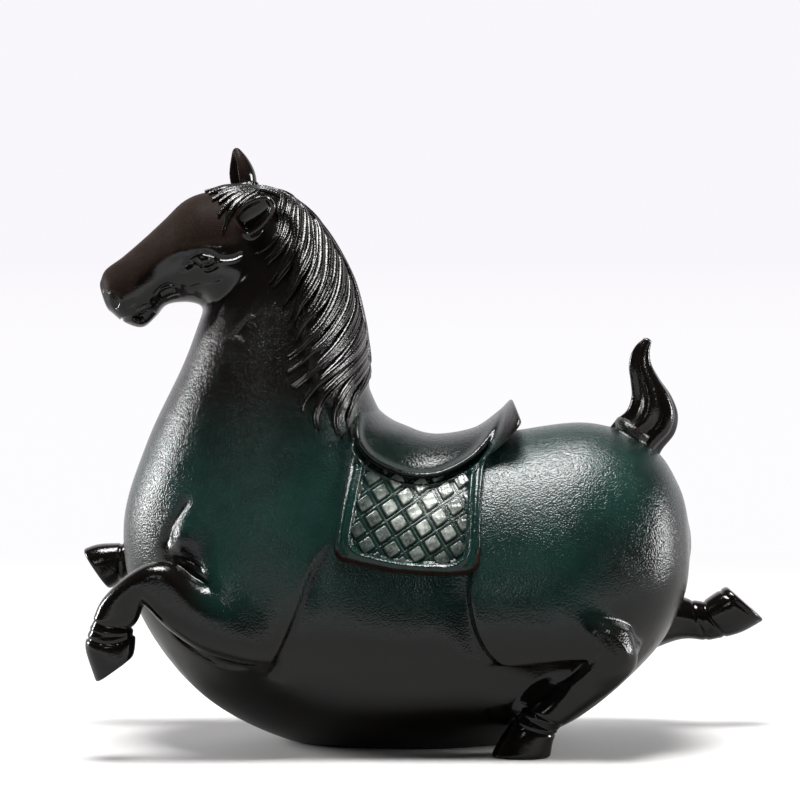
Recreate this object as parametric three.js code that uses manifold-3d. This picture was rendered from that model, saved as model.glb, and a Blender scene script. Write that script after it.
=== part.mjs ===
// Ceramic horse: a plump cast figure lying on its belly, legs folded as if leaping.
// Millimetres, +Z up. The head looks towards -X and the near flank towards -Y.
// The origin is in the flat spot under the belly that the figure rests on.

import * as THREE from "three";
import { mergeVertices } from "three/addons/utils/BufferGeometryUtils.js";
import { ParametricGeometry } from "three/addons/geometries/ParametricGeometry.js";
import Module from "manifold-3d";

const wasm = await Module();
wasm.setup();

// Driving sizes
const barrelHalfWidth = 51;
const clothThickness = 1.9;
const borderHeight = 2.9;
const borderWidth = 1.5;
const studRise = 1.1;
const studPitch = 6.2;
const studSide = 4.8;
const studTaper = 0.8;
const studMargin = 2.9;
const latticeSlope = Math.PI / 6;
const latticeReach = 7;
const seatThickness = 3.4;
const seatRimHeight = 4.5;
const seatRimWidth = 1.7;
const cantleRise = 8.5;
const nearLocks = 10;
const farLocks = 6;
const lockWidth = 2.9;
const lockDepth = 1.9;
const crestDepth = 5;
const tailStrands = 5;
const fluteDepth = 0.17;
const fluteTwist = 2.4;
const hoofSquareness = 0.8;
const thighSquareness = 0.72;
const limbSquareness = 0.9;
const floorCut = 400;

// Fineness of the faceted surfaces
const capRings = 1;
const mergeGap = 1e-4;

const near = -1;
const far = 1;

// Solids and cuts

// Turns a closed geometry into a solid whose faces point outwards.
function solidOf(geometry) {
  const bare = geometry.clone();
  bare.deleteAttribute("normal");
  bare.deleteAttribute("uv");
  const merged = mergeVertices(bare, mergeGap);
  const corners = merged.attributes.position.array;
  const order = merged.index.array;
  const faces = [];
  let volume = 0;
  const point = (i) => new THREE.Vector3().fromArray(corners, i * 3);
  for (let i = 0; i < order.length; i += 3) {
    const [a, b, c] = [order[i], order[i + 1], order[i + 2]];
    if (a === b || b === c || a === c) continue;
    faces.push(a, b, c);
    volume += point(a).dot(point(b).cross(point(c)));
  }
  if (volume < 0) faces.reverse();
  return new wasm.Manifold(new wasm.Mesh({
    numProp: 3,
    vertProperties: Float32Array.from(corners),
    triVerts: Uint32Array.from(faces),
  }));
}

function join(solids) {
  return solids.reduce((whole, solid) => whole.add(solid));
}

// A prism through the whole figure, from an outline drawn on the side view.
function sidePrism(outline, fromY = -floorCut, toY = floorCut) {
  const shape = new THREE.Shape(outline.map(([x, z]) => new THREE.Vector2(x, z)));
  const prism = new THREE.ExtrudeGeometry(shape, { depth: toY - fromY, bevelEnabled: false });
  prism.rotateX(Math.PI / 2);
  prism.translate(0, toY, 0);
  return solidOf(prism);
}

// Moves a closed outline outwards (positive) or inwards (negative).
function offsetOutline(outline, distance) {
  const turn = THREE.ShapeUtils.area(outline.map(([x, y]) => new THREE.Vector2(x, y))) > 0 ? 1 : -1;
  return outline.map(([x, z], i) => {
    const [xa, za] = outline[(i + outline.length - 1) % outline.length];
    const [xb, zb] = outline[(i + 1) % outline.length];
    const along = new THREE.Vector2(xb - xa, zb - za).normalize();
    return [x + along.y * distance * turn, z - along.x * distance * turn];
  });
}

// Smooth closed outline through a few points of the side view.
function smoothOutline(points, steps) {
  const curve = new THREE.SplineCurve(points.map(([x, z]) => new THREE.Vector2(x, z)));
  return curve.getPoints(steps).map((p) => [p.x, p.y]);
}

// Lofted forms

const power = (value, exponent) => Math.sign(value) * Math.abs(value) ** exponent;

// Reads numbers given at stations as one smooth curve.
function smoothRow(rows) {
  const curves = rows[0].map((_, column) => new THREE.CatmullRomCurve3(
    rows.map((row, i) => new THREE.Vector3(i, row[column], 0)), false, "catmullrom", 0.5));
  return (t) => curves.map((curve) => curve.getPoint(t).y);
}

// A station is [upper x, upper z, lower x, lower z, y, half width]: the two ends of a section on
// the side view, where its plane stands across the figure, and how far it reaches to each side.
function sectionsOf(stations, { pear = 0, square = 1 } = {}) {
  const read = smoothRow(stations);
  return (t) => {
    const [xUp, zUp, xLow, zLow, y, half] = read(t);
    const upper = new THREE.Vector3(xUp, y, zUp);
    const lower = new THREE.Vector3(xLow, y, zLow);
    return {
      centre: upper.clone().add(lower).multiplyScalar(0.5),
      up: upper.clone().sub(lower).multiplyScalar(0.5),
      side: new THREE.Vector3(0, Math.max(half, 0.05), 0),
      pear,
      square,
    };
  };
}

// The point of a section at an angle from its upper end, pushed out by a lift in millimetres.
function sectionPoint(section, angle, lift = 0, shrink = 1) {
  const c = power(Math.cos(angle), section.square);
  const s = power(Math.sin(angle), section.square);
  const upLength = section.up.length();
  const sideLength = section.side.length();
  const flare = 1 - section.pear * c;
  return section.centre.clone()
    .addScaledVector(section.up, (c * (upLength + lift) * shrink) / upLength)
    .addScaledVector(section.side, (s * (sideLength * flare + lift) * shrink) / sideLength);
}

// Skins a row of sections and closes both ends with rounded caps. The lift reads the bare point.
function loft(sectionAt, { around, along, startBulge = 0, endBulge = 0, lift = () => 0, flute = null }) {
  const rings = along + 2 * capRings;
  const step = 0.01;
  const startWay = sectionAt(0).centre.clone().sub(sectionAt(step).centre).normalize();
  const endWay = sectionAt(1).centre.clone().sub(sectionAt(1 - step).centre).normalize();
  const surface = (u, v, target) => {
    const row = Math.round(v * rings);
    const t = THREE.MathUtils.clamp((row - capRings) / along, 0, 1);
    const past = Math.max(0, capRings - row, row - capRings - along) / capRings;
    const shrink = past === 1 ? 0 : Math.cos((past * Math.PI) / 2);
    const push = Math.sin((past * Math.PI) / 2);
    const angle = (u === 1 ? 0 : u) * 2 * Math.PI;
    const groove = flute ? flute(angle, t) : 1;
    const section = sectionAt(t);
    const rise = lift(sectionPoint(section, angle), Math.cos(angle));
    target.copy(sectionPoint(section, angle, rise, shrink * groove));
    if (row < capRings) target.addScaledVector(startWay, push * startBulge);
    if (row > capRings + along) target.addScaledVector(endWay, push * endBulge);
  };
  return solidOf(new ParametricGeometry(surface, around, rings));
}

// A tapered strand along a path, flattened against the surface that it lies on.
function strand(path, outward, { width, depth, around = 6, along = 8, taper = 0.8 }) {
  const curve = new THREE.CatmullRomCurve3(path, false, "centripetal");
  const sectionAt = (t) => {
    const centre = curve.getPoint(t);
    const up = outward(centre).normalize();
    const side = curve.getTangent(t).cross(up).normalize();
    const size = Math.max(0.12, Math.sin(Math.PI * Math.min(1, 0.25 + t * 0.75)) ** taper);
    return {
      centre,
      up: up.multiplyScalar(depth * size),
      side: side.multiplyScalar(width * size),
      pear: 0,
      square: 1,
    };
  };
  return loft(sectionAt, { around, along, startBulge: 0.5, endBulge: 0.8 });
}

// Barrel, breast and neck, one form from the rump to the throat

const trunkStations = [
  [103.2, 75, 103.4, 65, 0, 6],
  [99.4, 89.5, 99.8, 47.5, 0, 25],
  [89.5, 103.4, 87.5, 28.5, 0, 40],
  [68.3, 111.4, 59.8, 6, 0, 49],
  [40.3, 108.5, 24.6, -3.2, 0, barrelHalfWidth],
  [14, 104.4, -7, -3.9, 0, barrelHalfWidth],
  [-1.1, 110.5, -38.7, 1.1, 0, barrelHalfWidth],
  [-8.7, 123, -68.6, 17.4, 0, 49.5],
  [-11.9, 136, -89.5, 45.6, 0, 45],
  [-14.3, 147.5, -95, 75.6, 0, 39],
  [-17.5, 159.5, -86.9, 104.4, 0, 32.5],
  [-23.4, 170.2, -73.8, 132.5, 0, 25.5],
  [-33, 183, -65.3, 154.5, 0, 18.5],
  [-41, 188, -58, 164, 0, 13],
];
const trunkSections = sectionsOf(trunkStations, { pear: 0.1, square: 0.94 });

// Muscles that swell from both flanks: place on the side view, reach and rise.
const muscles = [
  { x: -48, z: 68, reachX: 20, reachZ: 20, rise: 2.6 },
  { x: 58, z: 58, reachX: 22, reachZ: 22, rise: 3 },
];

function muscle(point) {
  const sideways = Math.min(1, Math.abs(point.y) / barrelHalfWidth);
  return muscles.reduce((sum, { x, z, reachX, reachZ, rise }) => {
    const away = ((point.x - x) / reachX) ** 2 + ((point.z - z) / reachZ) ** 2;
    return sum + rise * Math.exp(-away) * sideways ** 2;
  }, 0);
}

function trunkSkin(lift) {
  const raised = (point, c) => muscle(point) + lift(c);
  return loft(trunkSections, { around: 22, along: 25, startBulge: 0.4, endBulge: 3, lift: raised });
}

// Where the trunk's surface lies at a place of the side view: the section through that place is
// found by halving, and its own outline gives the reach to the side.
function flank(x, z, side, lift = 0) {
  const place = new THREE.Vector3(x, 0, z);
  const turn = (t) => {
    const { centre, up } = trunkSections(t);
    const arm = place.clone().sub(centre);
    return up.x * arm.z - up.z * arm.x;
  };
  let [low, high] = [0, 1];
  for (let i = 0; i < 24; i++) {
    const middle = (low + high) / 2;
    if (turn(low) * turn(middle) > 0) low = middle;
    else high = middle;
  }
  const section = trunkSections((low + high) / 2);
  const rise = THREE.MathUtils.clamp(
    place.sub(section.centre).dot(section.up) / section.up.lengthSq(), -0.995, 0.995);
  const angle = Math.acos(power(rise, 1 / section.square));
  const point = sectionPoint(section, angle, lift);
  return new THREE.Vector3(x, point.y * side, z);
}

// Direction straight out of the trunk's surface there.
function flankNormal(x, z, side) {
  const step = 0.5;
  const slopeX = (flank(x + step, z, 1).y - flank(x - step, z, 1).y) / (2 * step);
  const slopeZ = (flank(x, z + step, 1).y - flank(x, z - step, 1).y) / (2 * step);
  return new THREE.Vector3(-slopeX, side, -slopeZ).normalize();
}

// Head, with jaw, eyes, nostrils, mouth and ears

const headStations = [
  [-43, 188, -52, 160, 0, 15.5],
  [-52, 193.2, -57.5, 153.4, 0, 19.6],
  [-65.2, 192.2, -67.1, 153.1, 0, 19.5],
  [-73.3, 189.2, -73.2, 153.8, 0, 17.6],
  [-80.5, 182.5, -79.6, 152.8, 0, 15.2],
  [-87.3, 176.2, -83.4, 148.8, 0, 13.8],
  [-95, 169.6, -88.3, 145, 0, 12.4],
  [-101, 165.1, -94.6, 146.8, 0, 10.9],
  [-102.9, 161, -99.6, 150.6, 0, 7],
];
const headSections = sectionsOf(headStations, { pear: 0.06, square: 0.92 });

function ellipsoid(centre, radii, tilt = 0, segments = 14) {
  const ball = new THREE.SphereGeometry(1, segments, Math.round(segments * 0.6));
  ball.scale(...radii);
  ball.rotateY(-tilt);
  ball.translate(...centre);
  return solidOf(ball);
}

function jaw(side) {
  return ellipsoid([-57.2, side * 12.6, 165.8], [11.8, 8.4, 13], 0.3, 9);
}

function eye(side) {
  const centre = new THREE.Vector3(-64.4, side * 18.6, 168.4);
  const ball = ellipsoid(centre.toArray(), [3.4, 1.9, 2.2], 0.12, 6);
  const outward = () => new THREE.Vector3(-0.15, side, 0.1);
  const lid = (rise) => strand(
    [[-5.2, 0.6], [-2.6, rise], [1, rise * 1.15], [5.4, 0.8]].map(
      ([dx, dz]) => centre.clone().add(new THREE.Vector3(dx, side * 1.1, dz))),
    outward, { width: 0.75, depth: 0.8, around: 4, along: 4, taper: 0.5 });
  return join([ball, lid(2.9), lid(-2.4)]);
}

function nostril(side) {
  return ellipsoid([-97.6, side * 12.4, 154.9], [1.5, 2.2, 2.9], -0.5, 6);
}

function mouthOpening(side) {
  const outline = [
    [-91.8, 148.9], [-88.6, 150.7], [-84.8, 151.2], [-83.9, 150], [-86.4, 147.6], [-89.4, 146.9],
  ];
  const reach = side * 5;
  return sidePrism(outline, Math.min(reach, side * 30), Math.max(reach, side * 30));
}

// A hollow leaf: its outline lies on a plane, and a smaller leaf is scooped from its open face.
function ear(root, tip, openWay, halfWidth, thickness) {
  const length = tip.clone().sub(root);
  const out = openWay.clone().normalize();
  const leaf = (from, to, width, thick, shift) => {
    const sectionAt = (t) => {
      const swell = 0.12 + 0.88 * Math.sin(Math.PI * (0.2 + 0.8 * THREE.MathUtils.lerp(from, to, t))) ** 0.8;
      return {
        centre: root.clone().addScaledVector(length, THREE.MathUtils.lerp(from, to, t))
          .addScaledVector(out, shift),
        up: out.clone().multiplyScalar(thick * swell),
        side: length.clone().normalize().cross(out).multiplyScalar(width * swell),
        pear: 0,
        square: 1,
      };
    };
    return loft(sectionAt, { around: 8, along: 4, startBulge: 1, endBulge: 0.8 });
  };
  const shell = leaf(0, 0.97, halfWidth, thickness, 0);
  const scoop = leaf(0.16, 0.86, halfWidth * 0.68, thickness, thickness * 0.75);
  return shell.subtract(scoop);
}

function ears() {
  const upright = ear(
    new THREE.Vector3(-53.2, 11, 190.5), new THREE.Vector3(-55.8, 11.5, 207.6),
    new THREE.Vector3(-0.75, 0.6, 0), 4.7, 3.9);
  const laidBack = ear(
    new THREE.Vector3(-53.5, -15.2, 180), new THREE.Vector3(-40.8, -20.5, 190.2),
    new THREE.Vector3(-0.2, -1, 0.1), 5, 3.6);
  return join([upright, laidBack]);
}

function forelock() {
  const outward = (p) => new THREE.Vector3(-0.25, p.y * 0.12, 1);
  const sweep = (startY, endX, endY, endZ) => strand([
    new THREE.Vector3(-50, startY, 192.6),
    new THREE.Vector3((-50 + endX) / 2 - 1, (startY + endY) / 2, (192.6 + endZ) / 2 + 2.4),
    new THREE.Vector3(endX, endY, endZ),
  ], outward, { width: 2.7, depth: 1.8, around: 4, along: 4 });
  const strands = [];
  for (let i = 0; i < 5; i++) {
    const across = -1 + (2 * i) / 4;
    strands.push(sweep(across * 9, -65 + Math.abs(across) * 6, across * 15.5, 193.5 - across * across * 9));
  }
  return join(strands);
}

function head() {
  const skull = loft(headSections, { around: 16, along: 14, startBulge: 3, endBulge: 0.8 });
  let whole = skull;
  for (const side of [near, far]) {
    whole = join([whole, jaw(side), eye(side)]);
    whole = whole.subtract(nostril(side)).subtract(mouthOpening(side));
  }
  return join([whole, ears(), forelock()]);
}

// Mane: locks leave the crest one below the other and sweep down and forward

const crestLine = new THREE.CatmullRomCurve3([
  new THREE.Vector3(-45, 0, 194.2), new THREE.Vector3(-36.7, 0, 190.8), new THREE.Vector3(-26.3, 0, 180.8),
  new THREE.Vector3(-19.4, 0, 168.7), new THREE.Vector3(-13.9, 0, 154.3), new THREE.Vector3(-10.6, 0, 140),
  new THREE.Vector3(-9.6, 0, 127),
]);
const frontLine = new THREE.CatmullRomCurve3([
  new THREE.Vector3(-43, 0, 176), new THREE.Vector3(-43, 0, 163), new THREE.Vector3(-37, 0, 148),
  new THREE.Vector3(-34.5, 0, 132), new THREE.Vector3(-28.5, 0, 117), new THREE.Vector3(-19, 0, 108.5),
]);

function maneLock(place, side) {
  const root = crestLine.getPoint(place * 0.84);
  const shoulder = crestLine.getPoint(place * 0.84 + 0.14).add(new THREE.Vector3(-4.5, 0, -0.5));
  const tip = frontLine.getPoint(place);
  const middle = shoulder.clone().lerp(tip, 0.5).add(new THREE.Vector3(2, 0, -2.4));
  const path = [root.clone().add(new THREE.Vector3(-1.5, side * 3.5, -1.5)),
    ...[shoulder, middle, tip].map((p) => flank(p.x, p.z, side, 0.3))];
  const outward = (p) => flankNormal(p.x, p.z, side);
  return strand(path, outward, { width: lockWidth, depth: lockDepth, around: 4, along: 4 });
}

function mane() {
  const locks = [];
  for (const [side, count] of [[near, nearLocks], [far, farLocks]]) {
    for (let i = 0; i < count; i++) locks.push(maneLock(i / (count - 1), side));
  }
  const sectionAt = (t) => {
    const spot = crestLine.getPoint(t);
    const way = crestLine.getTangent(t);
    const up = new THREE.Vector3(-way.z, 0, way.x);
    return {
      centre: spot.addScaledVector(up, -crestDepth),
      up: up.multiplyScalar(crestDepth),
      side: new THREE.Vector3(0, THREE.MathUtils.lerp(11, 5, t), 0),
      pear: 0.25,
      square: 1,
    };
  };
  const crest = loft(sectionAt, { around: 8, along: 9, startBulge: 3, endBulge: 4 });
  return join([crest, ...locks]);
}

// Legs: each one is lofted from the shoulder or hip to the coronet, with a hoof below it

function leg(limb, hoof, square = limbSquareness) {
  const upper = loft(sectionsOf(limb, { square }), { around: 10, along: 10, startBulge: 2, endBulge: 0.6 });
  const shoe = loft(sectionsOf(hoof, { square: hoofSquareness }), { around: 8, along: 2 });
  return upper.add(shoe);
}

const nearForeLimb = [
  [-58, 92, -16, 84, -26, 12],
  [-65, 78, -22.5, 68, -33.5, 13],
  [-66, 67, -29.5, 48, -38.5, 13],
  [-64, 60.5, -40.5, 32, -41.5, 12],
  [-68, 61, -62, 35.2, -43, 11.6],
  [-76, 66.4, -75.5, 43.5, -46, 9.8],
  [-83, 67, -83.4, 51.6, -47, 7.8],
  [-91, 62.6, -86.4, 53.2, -47, 6.2],
  [-100, 54.4, -88.3, 47, -46, 6],
  [-102.6, 45.8, -89, 44.6, -45.5, 6.8],
];
const nearForeHoof = [
  [-102.8, 45, -88.8, 44.4, -45.5, 6.9],
  [-104.9, 38.5, -87.6, 41, -45.5, 7.8],
  [-101.6, 26.2, -87.2, 37.8, -45.5, 8.3],
];
const farForeLimb = [
  [-45, 82, -42, 46, 33, 12],
  [-60, 70, -58, 42, 36, 13],
  [-74, 66, -73, 45, 39, 10.4],
  [-86, 66, -85, 52, 40, 7.2],
  [-94, 65.2, -93, 54, 40, 6.1],
  [-98.6, 65.6, -97.4, 53, 40, 6.8],
];
const farForeHoof = [
  [-98, 65.4, -97, 53, 40, 6.8],
  [-107, 65, -100.5, 50.4, 40, 7.8],
  [-112.9, 63.2, -103.2, 48.8, 40, 8.2],
];
const nearHindLimb = [
  [22, 84, 78, 80, -26, 12],
  [19, 64, 85, 58, -36.6, 13.6],
  [19.5, 47.5, 85, 39.5, -39.8, 13.4],
  [26.5, 36, 82.4, 31, -39.5, 12.4],
  [44, 30.4, 80.6, 27.6, -39.5, 10.4],
  [54, 25, 73.4, 22.2, -39.5, 8],
  [49, 20.5, 65.8, 17.7, -39.5, 6.9],
  [42, 14.4, 56.6, 11, -39.5, 7.4],
];
const nearHindHoof = [
  [42, 14.2, 56.2, 11, -39.5, 7.3],
  [36, 6.6, 53.9, 5.4, -39.5, 8.4],
  [31.8, -1.2, 52.8, -1.2, -39.5, 9],
];
const farHindLimb = [
  [56, 86, 48, 44, 30, 15],
  [76, 70, 62, 22, 33.5, 17.5],
  [94, 52.5, 86, 25.5, 35, 14],
  [104.5, 46.2, 102.5, 31, 35, 8.4],
  [111.2, 44.6, 113, 30.6, 35, 6.8],
];
const farHindHoof = [
  [110.6, 44.4, 113.2, 30.8, 35, 6.8],
  [114.6, 47.2, 124, 33.4, 35, 7.9],
  [119.4, 50.2, 133, 38.2, 35, 8.4],
];

function legs() {
  return join([
    leg(nearForeLimb, nearForeHoof, thighSquareness),
    leg(farForeLimb, farForeHoof),
    leg(nearHindLimb, nearHindHoof, thighSquareness),
    leg(farHindLimb, farHindHoof),
  ]);
}

// Tail: a bundle of strands curling up from a collar on the rump

const tailStations = [
  [74, 106, 91, 94, 0, 8.5],
  [77.2, 112, 94.4, 102, 0, 8],
  [82, 117, 98.6, 112.2, 0, 7.2],
  [81.9, 125, 94, 124.4, 0, 5.6],
  [82, 133.5, 90, 132.8, 0, 3.8],
  [86.4, 140.7, 90.4, 139.2, 0, 1.6],
];

function tail() {
  const flute = (angle, t) => 1 + fluteDepth * (1 - t * 0.7) * Math.cos(tailStrands * angle + fluteTwist * t);
  return loft(sectionsOf(tailStations), { around: 15, along: 8, startBulge: 1, endBulge: 1.2, flute });
}

// Saddle: a cloth with a border and a studded lattice, and a seat with a rim and a cantle

const clothOutline = [
  [-14.4, 132], [-14.8, 104.8], [-18.3, 89], [-20.9, 73], [-18.6, 67.4], [2, 63.2], [24, 62.2],
  [29.4, 65.8], [29.2, 86], [31.7, 103.5], [38, 132],
];
const borderOutline = [
  [-9, 112], [-12, 93], [-15.2, 75], [-12.6, 71], [4, 68.2], [20, 67.8], [24.6, 72], [24.8, 90],
  [27.4, 112],
];
const seatEdge = smoothOutline([
  [-12.6, 118.8], [-13.6, 109], [-8.5, 101.2], [1.8, 96], [9, 94.9], [17, 96], [27.3, 101.4],
  [34.6, 109.5], [38.6, 117.4],
], 11);
const seatOutline = [...seatEdge, [38.6, 135], [2, 135], [-6, 127.5]];
const cantleProfile = [
  [26, 99.6], [31.5, 104], [35.6, 110.4], [38.2, 119], [39.6, 121.4], [41.1, 120.6], [41.4, 117],
  [40.6, 111], [40.5, 106], [34, 101.5],
];

// Rounds the corners of an outline of straight runs.
function rounded(outline, steps = 2) {
  return outline.flatMap(([x, z], i) => {
    const [xa, za] = outline[(i + outline.length - 1) % outline.length];
    const [xb, zb] = outline[(i + 1) % outline.length];
    const corner = new THREE.QuadraticBezierCurve(
      new THREE.Vector2((x + xa) / 2, (z + za) / 2), new THREE.Vector2(x, z),
      new THREE.Vector2((x + xb) / 2, (z + zb) / 2));
    return corner.getPoints(steps).slice(0, -1).map((p) => [p.x, p.y]);
  });
}

// Whether a place lies inside an outline: an upright line from it crosses the outline an odd number
// of times.
function within(outline, place) {
  return outline.reduce((inside, [x, z], i) => {
    const [xb, zb] = outline[(i + 1) % outline.length];
    const passes = (x > place.x) !== (xb > place.x);
    const height = z + ((zb - z) * (place.x - x)) / (xb - x);
    return passes && height > place.y ? !inside : inside;
  }, false);
}

// A square stud with sloping sides, set on the cloth with its edges along the lattice.
function stud(x, z, side) {
  const block = new THREE.BoxGeometry(studSide, 2 * studRise, studSide);
  const corners = block.attributes.position;
  for (let i = 0; i < corners.count; i++) {
    const width = corners.getY(i) > 0 ? studTaper : 1;
    corners.setXYZ(i, corners.getX(i) * width, corners.getY(i), corners.getZ(i) * width);
  }
  const out = flankNormal(x, z, side);
  const along = new THREE.Vector3(Math.cos(latticeSlope), 0, Math.sin(latticeSlope));
  along.addScaledVector(out, -along.dot(out)).normalize();
  const across = along.clone().cross(out);
  block.applyMatrix4(new THREE.Matrix4().makeBasis(along, out, across)
    .setPosition(flank(x, z, side, clothThickness)));
  return solidOf(block);
}

function latticeStuds() {
  const field = offsetOutline([...borderOutline.slice(1, -1), ...seatEdge.slice(2, -3).reverse()], -studMargin);
  const along = new THREE.Vector2(Math.cos(latticeSlope), Math.sin(latticeSlope));
  const across = new THREE.Vector2(-along.y, along.x);
  const first = new THREE.Vector2(1.8, 91);
  const studs = [];
  for (let i = -latticeReach; i <= latticeReach; i++) {
    for (let j = -latticeReach; j <= latticeReach; j++) {
      const spot = first.clone().addScaledVector(along, i * studPitch).addScaledVector(across, j * studPitch);
      if (within(field, spot)) studs.push(stud(spot.x, spot.y, near), stud(spot.x, spot.y, far));
    }
  }
  return join(studs);
}

function saddle() {
  const cloth = trunkSkin(() => clothThickness).intersect(sidePrism(rounded(clothOutline)));
  const field = sidePrism(rounded(borderOutline));
  const border = trunkSkin(() => borderHeight)
    .intersect(sidePrism(rounded(offsetOutline(borderOutline, borderWidth))).subtract(field));
  const seat = trunkSkin(() => seatThickness).intersect(sidePrism(seatOutline));
  const rimInside = sidePrism(offsetOutline(seatOutline, -seatRimWidth));
  const rim = trunkSkin(() => seatRimHeight).intersect(sidePrism(seatOutline).subtract(rimInside));
  const cantle = trunkSkin((c) => seatRimHeight + cantleRise * Math.max(0, c) ** 3)
    .intersect(sidePrism(rounded(cantleProfile, 2)));
  return join([cloth, border, latticeStuds(), seat, rim, cantle]);
}

// The whole figure, one cast piece, cut flat where it rests

function horse() {
  const floor = solidOf(new THREE.BoxGeometry(floorCut, floorCut, floorCut).translate(0, 0, -floorCut / 2));
  const whole = join([trunkSkin(() => 0), head(), mane(), legs(), tail(), saddle()]);
  return whole.subtract(floor);
}

// Keeps the outer skin of a solid: pockets left between the joined forms are filled.
function outerSkin(places, faces) {
  const parent = Array.from({ length: places.length / 3 }, (_, i) => i);
  const rootOf = (i) => {
    let root = i;
    while (parent[root] !== root) root = parent[root];
    parent[i] = root;
    return root;
  };
  for (let i = 0; i < faces.length; i += 3) {
    parent[rootOf(faces[i])] = rootOf(faces[i + 1]);
    parent[rootOf(faces[i + 1])] = rootOf(faces[i + 2]);
  }
  const count = new Map();
  for (let i = 0; i < faces.length; i += 3) count.set(rootOf(faces[i]), (count.get(rootOf(faces[i])) ?? 0) + 1);
  const [largest] = [...count].reduce((best, entry) => (entry[1] > best[1] ? entry : best));
  return faces.filter((_, i) => rootOf(faces[i - (i % 3)]) === largest);
}

function geometryOf(solid) {
  const { numProp, vertProperties, triVerts } = solid.getMesh();
  const places = new Float32Array((vertProperties.length / numProp) * 3);
  for (let i = 0; i < places.length / 3; i++) {
    for (let axis = 0; axis < 3; axis++) places[i * 3 + axis] = vertProperties[i * numProp + axis];
  }
  const bare = new THREE.BufferGeometry();
  bare.setAttribute("position", new THREE.BufferAttribute(places, 3));
  bare.setIndex(new THREE.BufferAttribute(outerSkin(places, Uint32Array.from(triVerts)), 1));
  const geometry = mergeVertices(bare.toNonIndexed(), mergeGap);
  geometry.computeVertexNormals();
  return geometry;
}

const glaze = new THREE.MeshStandardMaterial({ color: 0x0c2b29, roughness: 0.36, metalness: 0 });
const figure = new THREE.Mesh(geometryOf(horse()), glaze);
figure.name = "horse";

const group = new THREE.Group();
group.add(figure);

export default group;
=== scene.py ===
import math

import bpy
import numpy as np
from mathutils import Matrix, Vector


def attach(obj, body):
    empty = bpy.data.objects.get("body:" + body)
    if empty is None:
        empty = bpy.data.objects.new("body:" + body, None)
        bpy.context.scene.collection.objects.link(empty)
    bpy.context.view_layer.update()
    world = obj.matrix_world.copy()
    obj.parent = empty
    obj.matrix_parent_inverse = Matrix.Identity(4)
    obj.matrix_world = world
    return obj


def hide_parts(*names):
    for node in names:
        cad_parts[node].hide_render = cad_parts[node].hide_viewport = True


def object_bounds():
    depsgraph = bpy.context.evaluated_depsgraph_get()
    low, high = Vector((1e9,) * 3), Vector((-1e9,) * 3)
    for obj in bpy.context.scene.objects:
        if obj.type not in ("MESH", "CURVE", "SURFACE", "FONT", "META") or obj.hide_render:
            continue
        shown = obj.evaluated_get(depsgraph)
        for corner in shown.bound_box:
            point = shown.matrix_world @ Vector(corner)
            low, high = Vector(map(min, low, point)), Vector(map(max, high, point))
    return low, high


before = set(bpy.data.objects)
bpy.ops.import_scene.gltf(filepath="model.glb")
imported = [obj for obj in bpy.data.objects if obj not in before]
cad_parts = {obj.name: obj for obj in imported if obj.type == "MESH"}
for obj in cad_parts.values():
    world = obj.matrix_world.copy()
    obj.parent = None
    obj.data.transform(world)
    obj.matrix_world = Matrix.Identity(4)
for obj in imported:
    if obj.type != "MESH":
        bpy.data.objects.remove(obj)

import openvdb
from mathutils import Vector

# Glazed ceramic horse. Lengths are written in millimetres and turned into metres when a mesh is made.
# The head looks towards -X, the near flank towards -Y, and the belly rests on z = 0.

cadBox = [list(corner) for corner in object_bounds()]
metre = 0.001
near = -1
far = 1
leastHalfWidth = 0.05  # keeps a section from closing to a line

print("stage: frame loaded")

# Curves and lofted skins

def power(value, exponent):
    return np.sign(value) * np.abs(value) ** exponent


def smoothRows(rows, t):
    rows = np.asarray(rows, float)
    padded = np.vstack([2 * rows[0] - rows[1], rows, 2 * rows[-1] - rows[-2]])
    place = np.clip(np.atleast_1d(t), 0, 1) * (len(rows) - 1)
    first = np.minimum(place.astype(int), len(rows) - 2)
    w = (place - first)[:, None]
    before, start, end, after = (padded[first + i] for i in range(4))
    leave, arrive = (end - before) / 2, (after - start) / 2
    return ((2 * start - 2 * end + leave + arrive) * w ** 3
            + (3 * end - 3 * start - 2 * leave - arrive) * w ** 2 + leave * w + start)


def evenPath(points, count, samples=400):
    fine = smoothRows(points, np.linspace(0, 1, samples))
    lengths = np.r_[0, np.cumsum(np.linalg.norm(np.diff(fine, axis=0), axis=1))]
    wanted = np.linspace(0, lengths[-1], count)
    return np.stack([np.interp(wanted, lengths, fine[:, a]) for a in range(fine.shape[1])], 1)


def sectionsAt(stations, t):
    rows = smoothRows(stations, t)
    upper = np.stack([rows[:, 0], rows[:, 4], rows[:, 1]], 1)
    lower = np.stack([rows[:, 2], rows[:, 4], rows[:, 3]], 1)
    side = np.zeros_like(upper)
    side[:, 1] = np.maximum(rows[:, 5], leastHalfWidth)
    return (upper + lower) / 2, (upper - lower) / 2, side


def sectionPoints(sections, angle, lift=0.0, shrink=1.0, pear=0.0, square=1.0):
    centre, up, side = sections
    c, s = power(np.cos(angle), square), power(np.sin(angle), square)
    upLength = np.linalg.norm(up, axis=-1)
    sideLength = np.linalg.norm(side, axis=-1)
    return (centre + up * (c * (upLength + lift) * shrink / upLength)[..., None]
            + side * (s * (sideLength * (1 - pear * c) + lift) * shrink / sideLength)[..., None])


# A station is a cross section: upper point x and z, lower point x and z, the middle's y, half its width.
# A muscle is x, z, its reach along x and along z, and its height.

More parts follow.
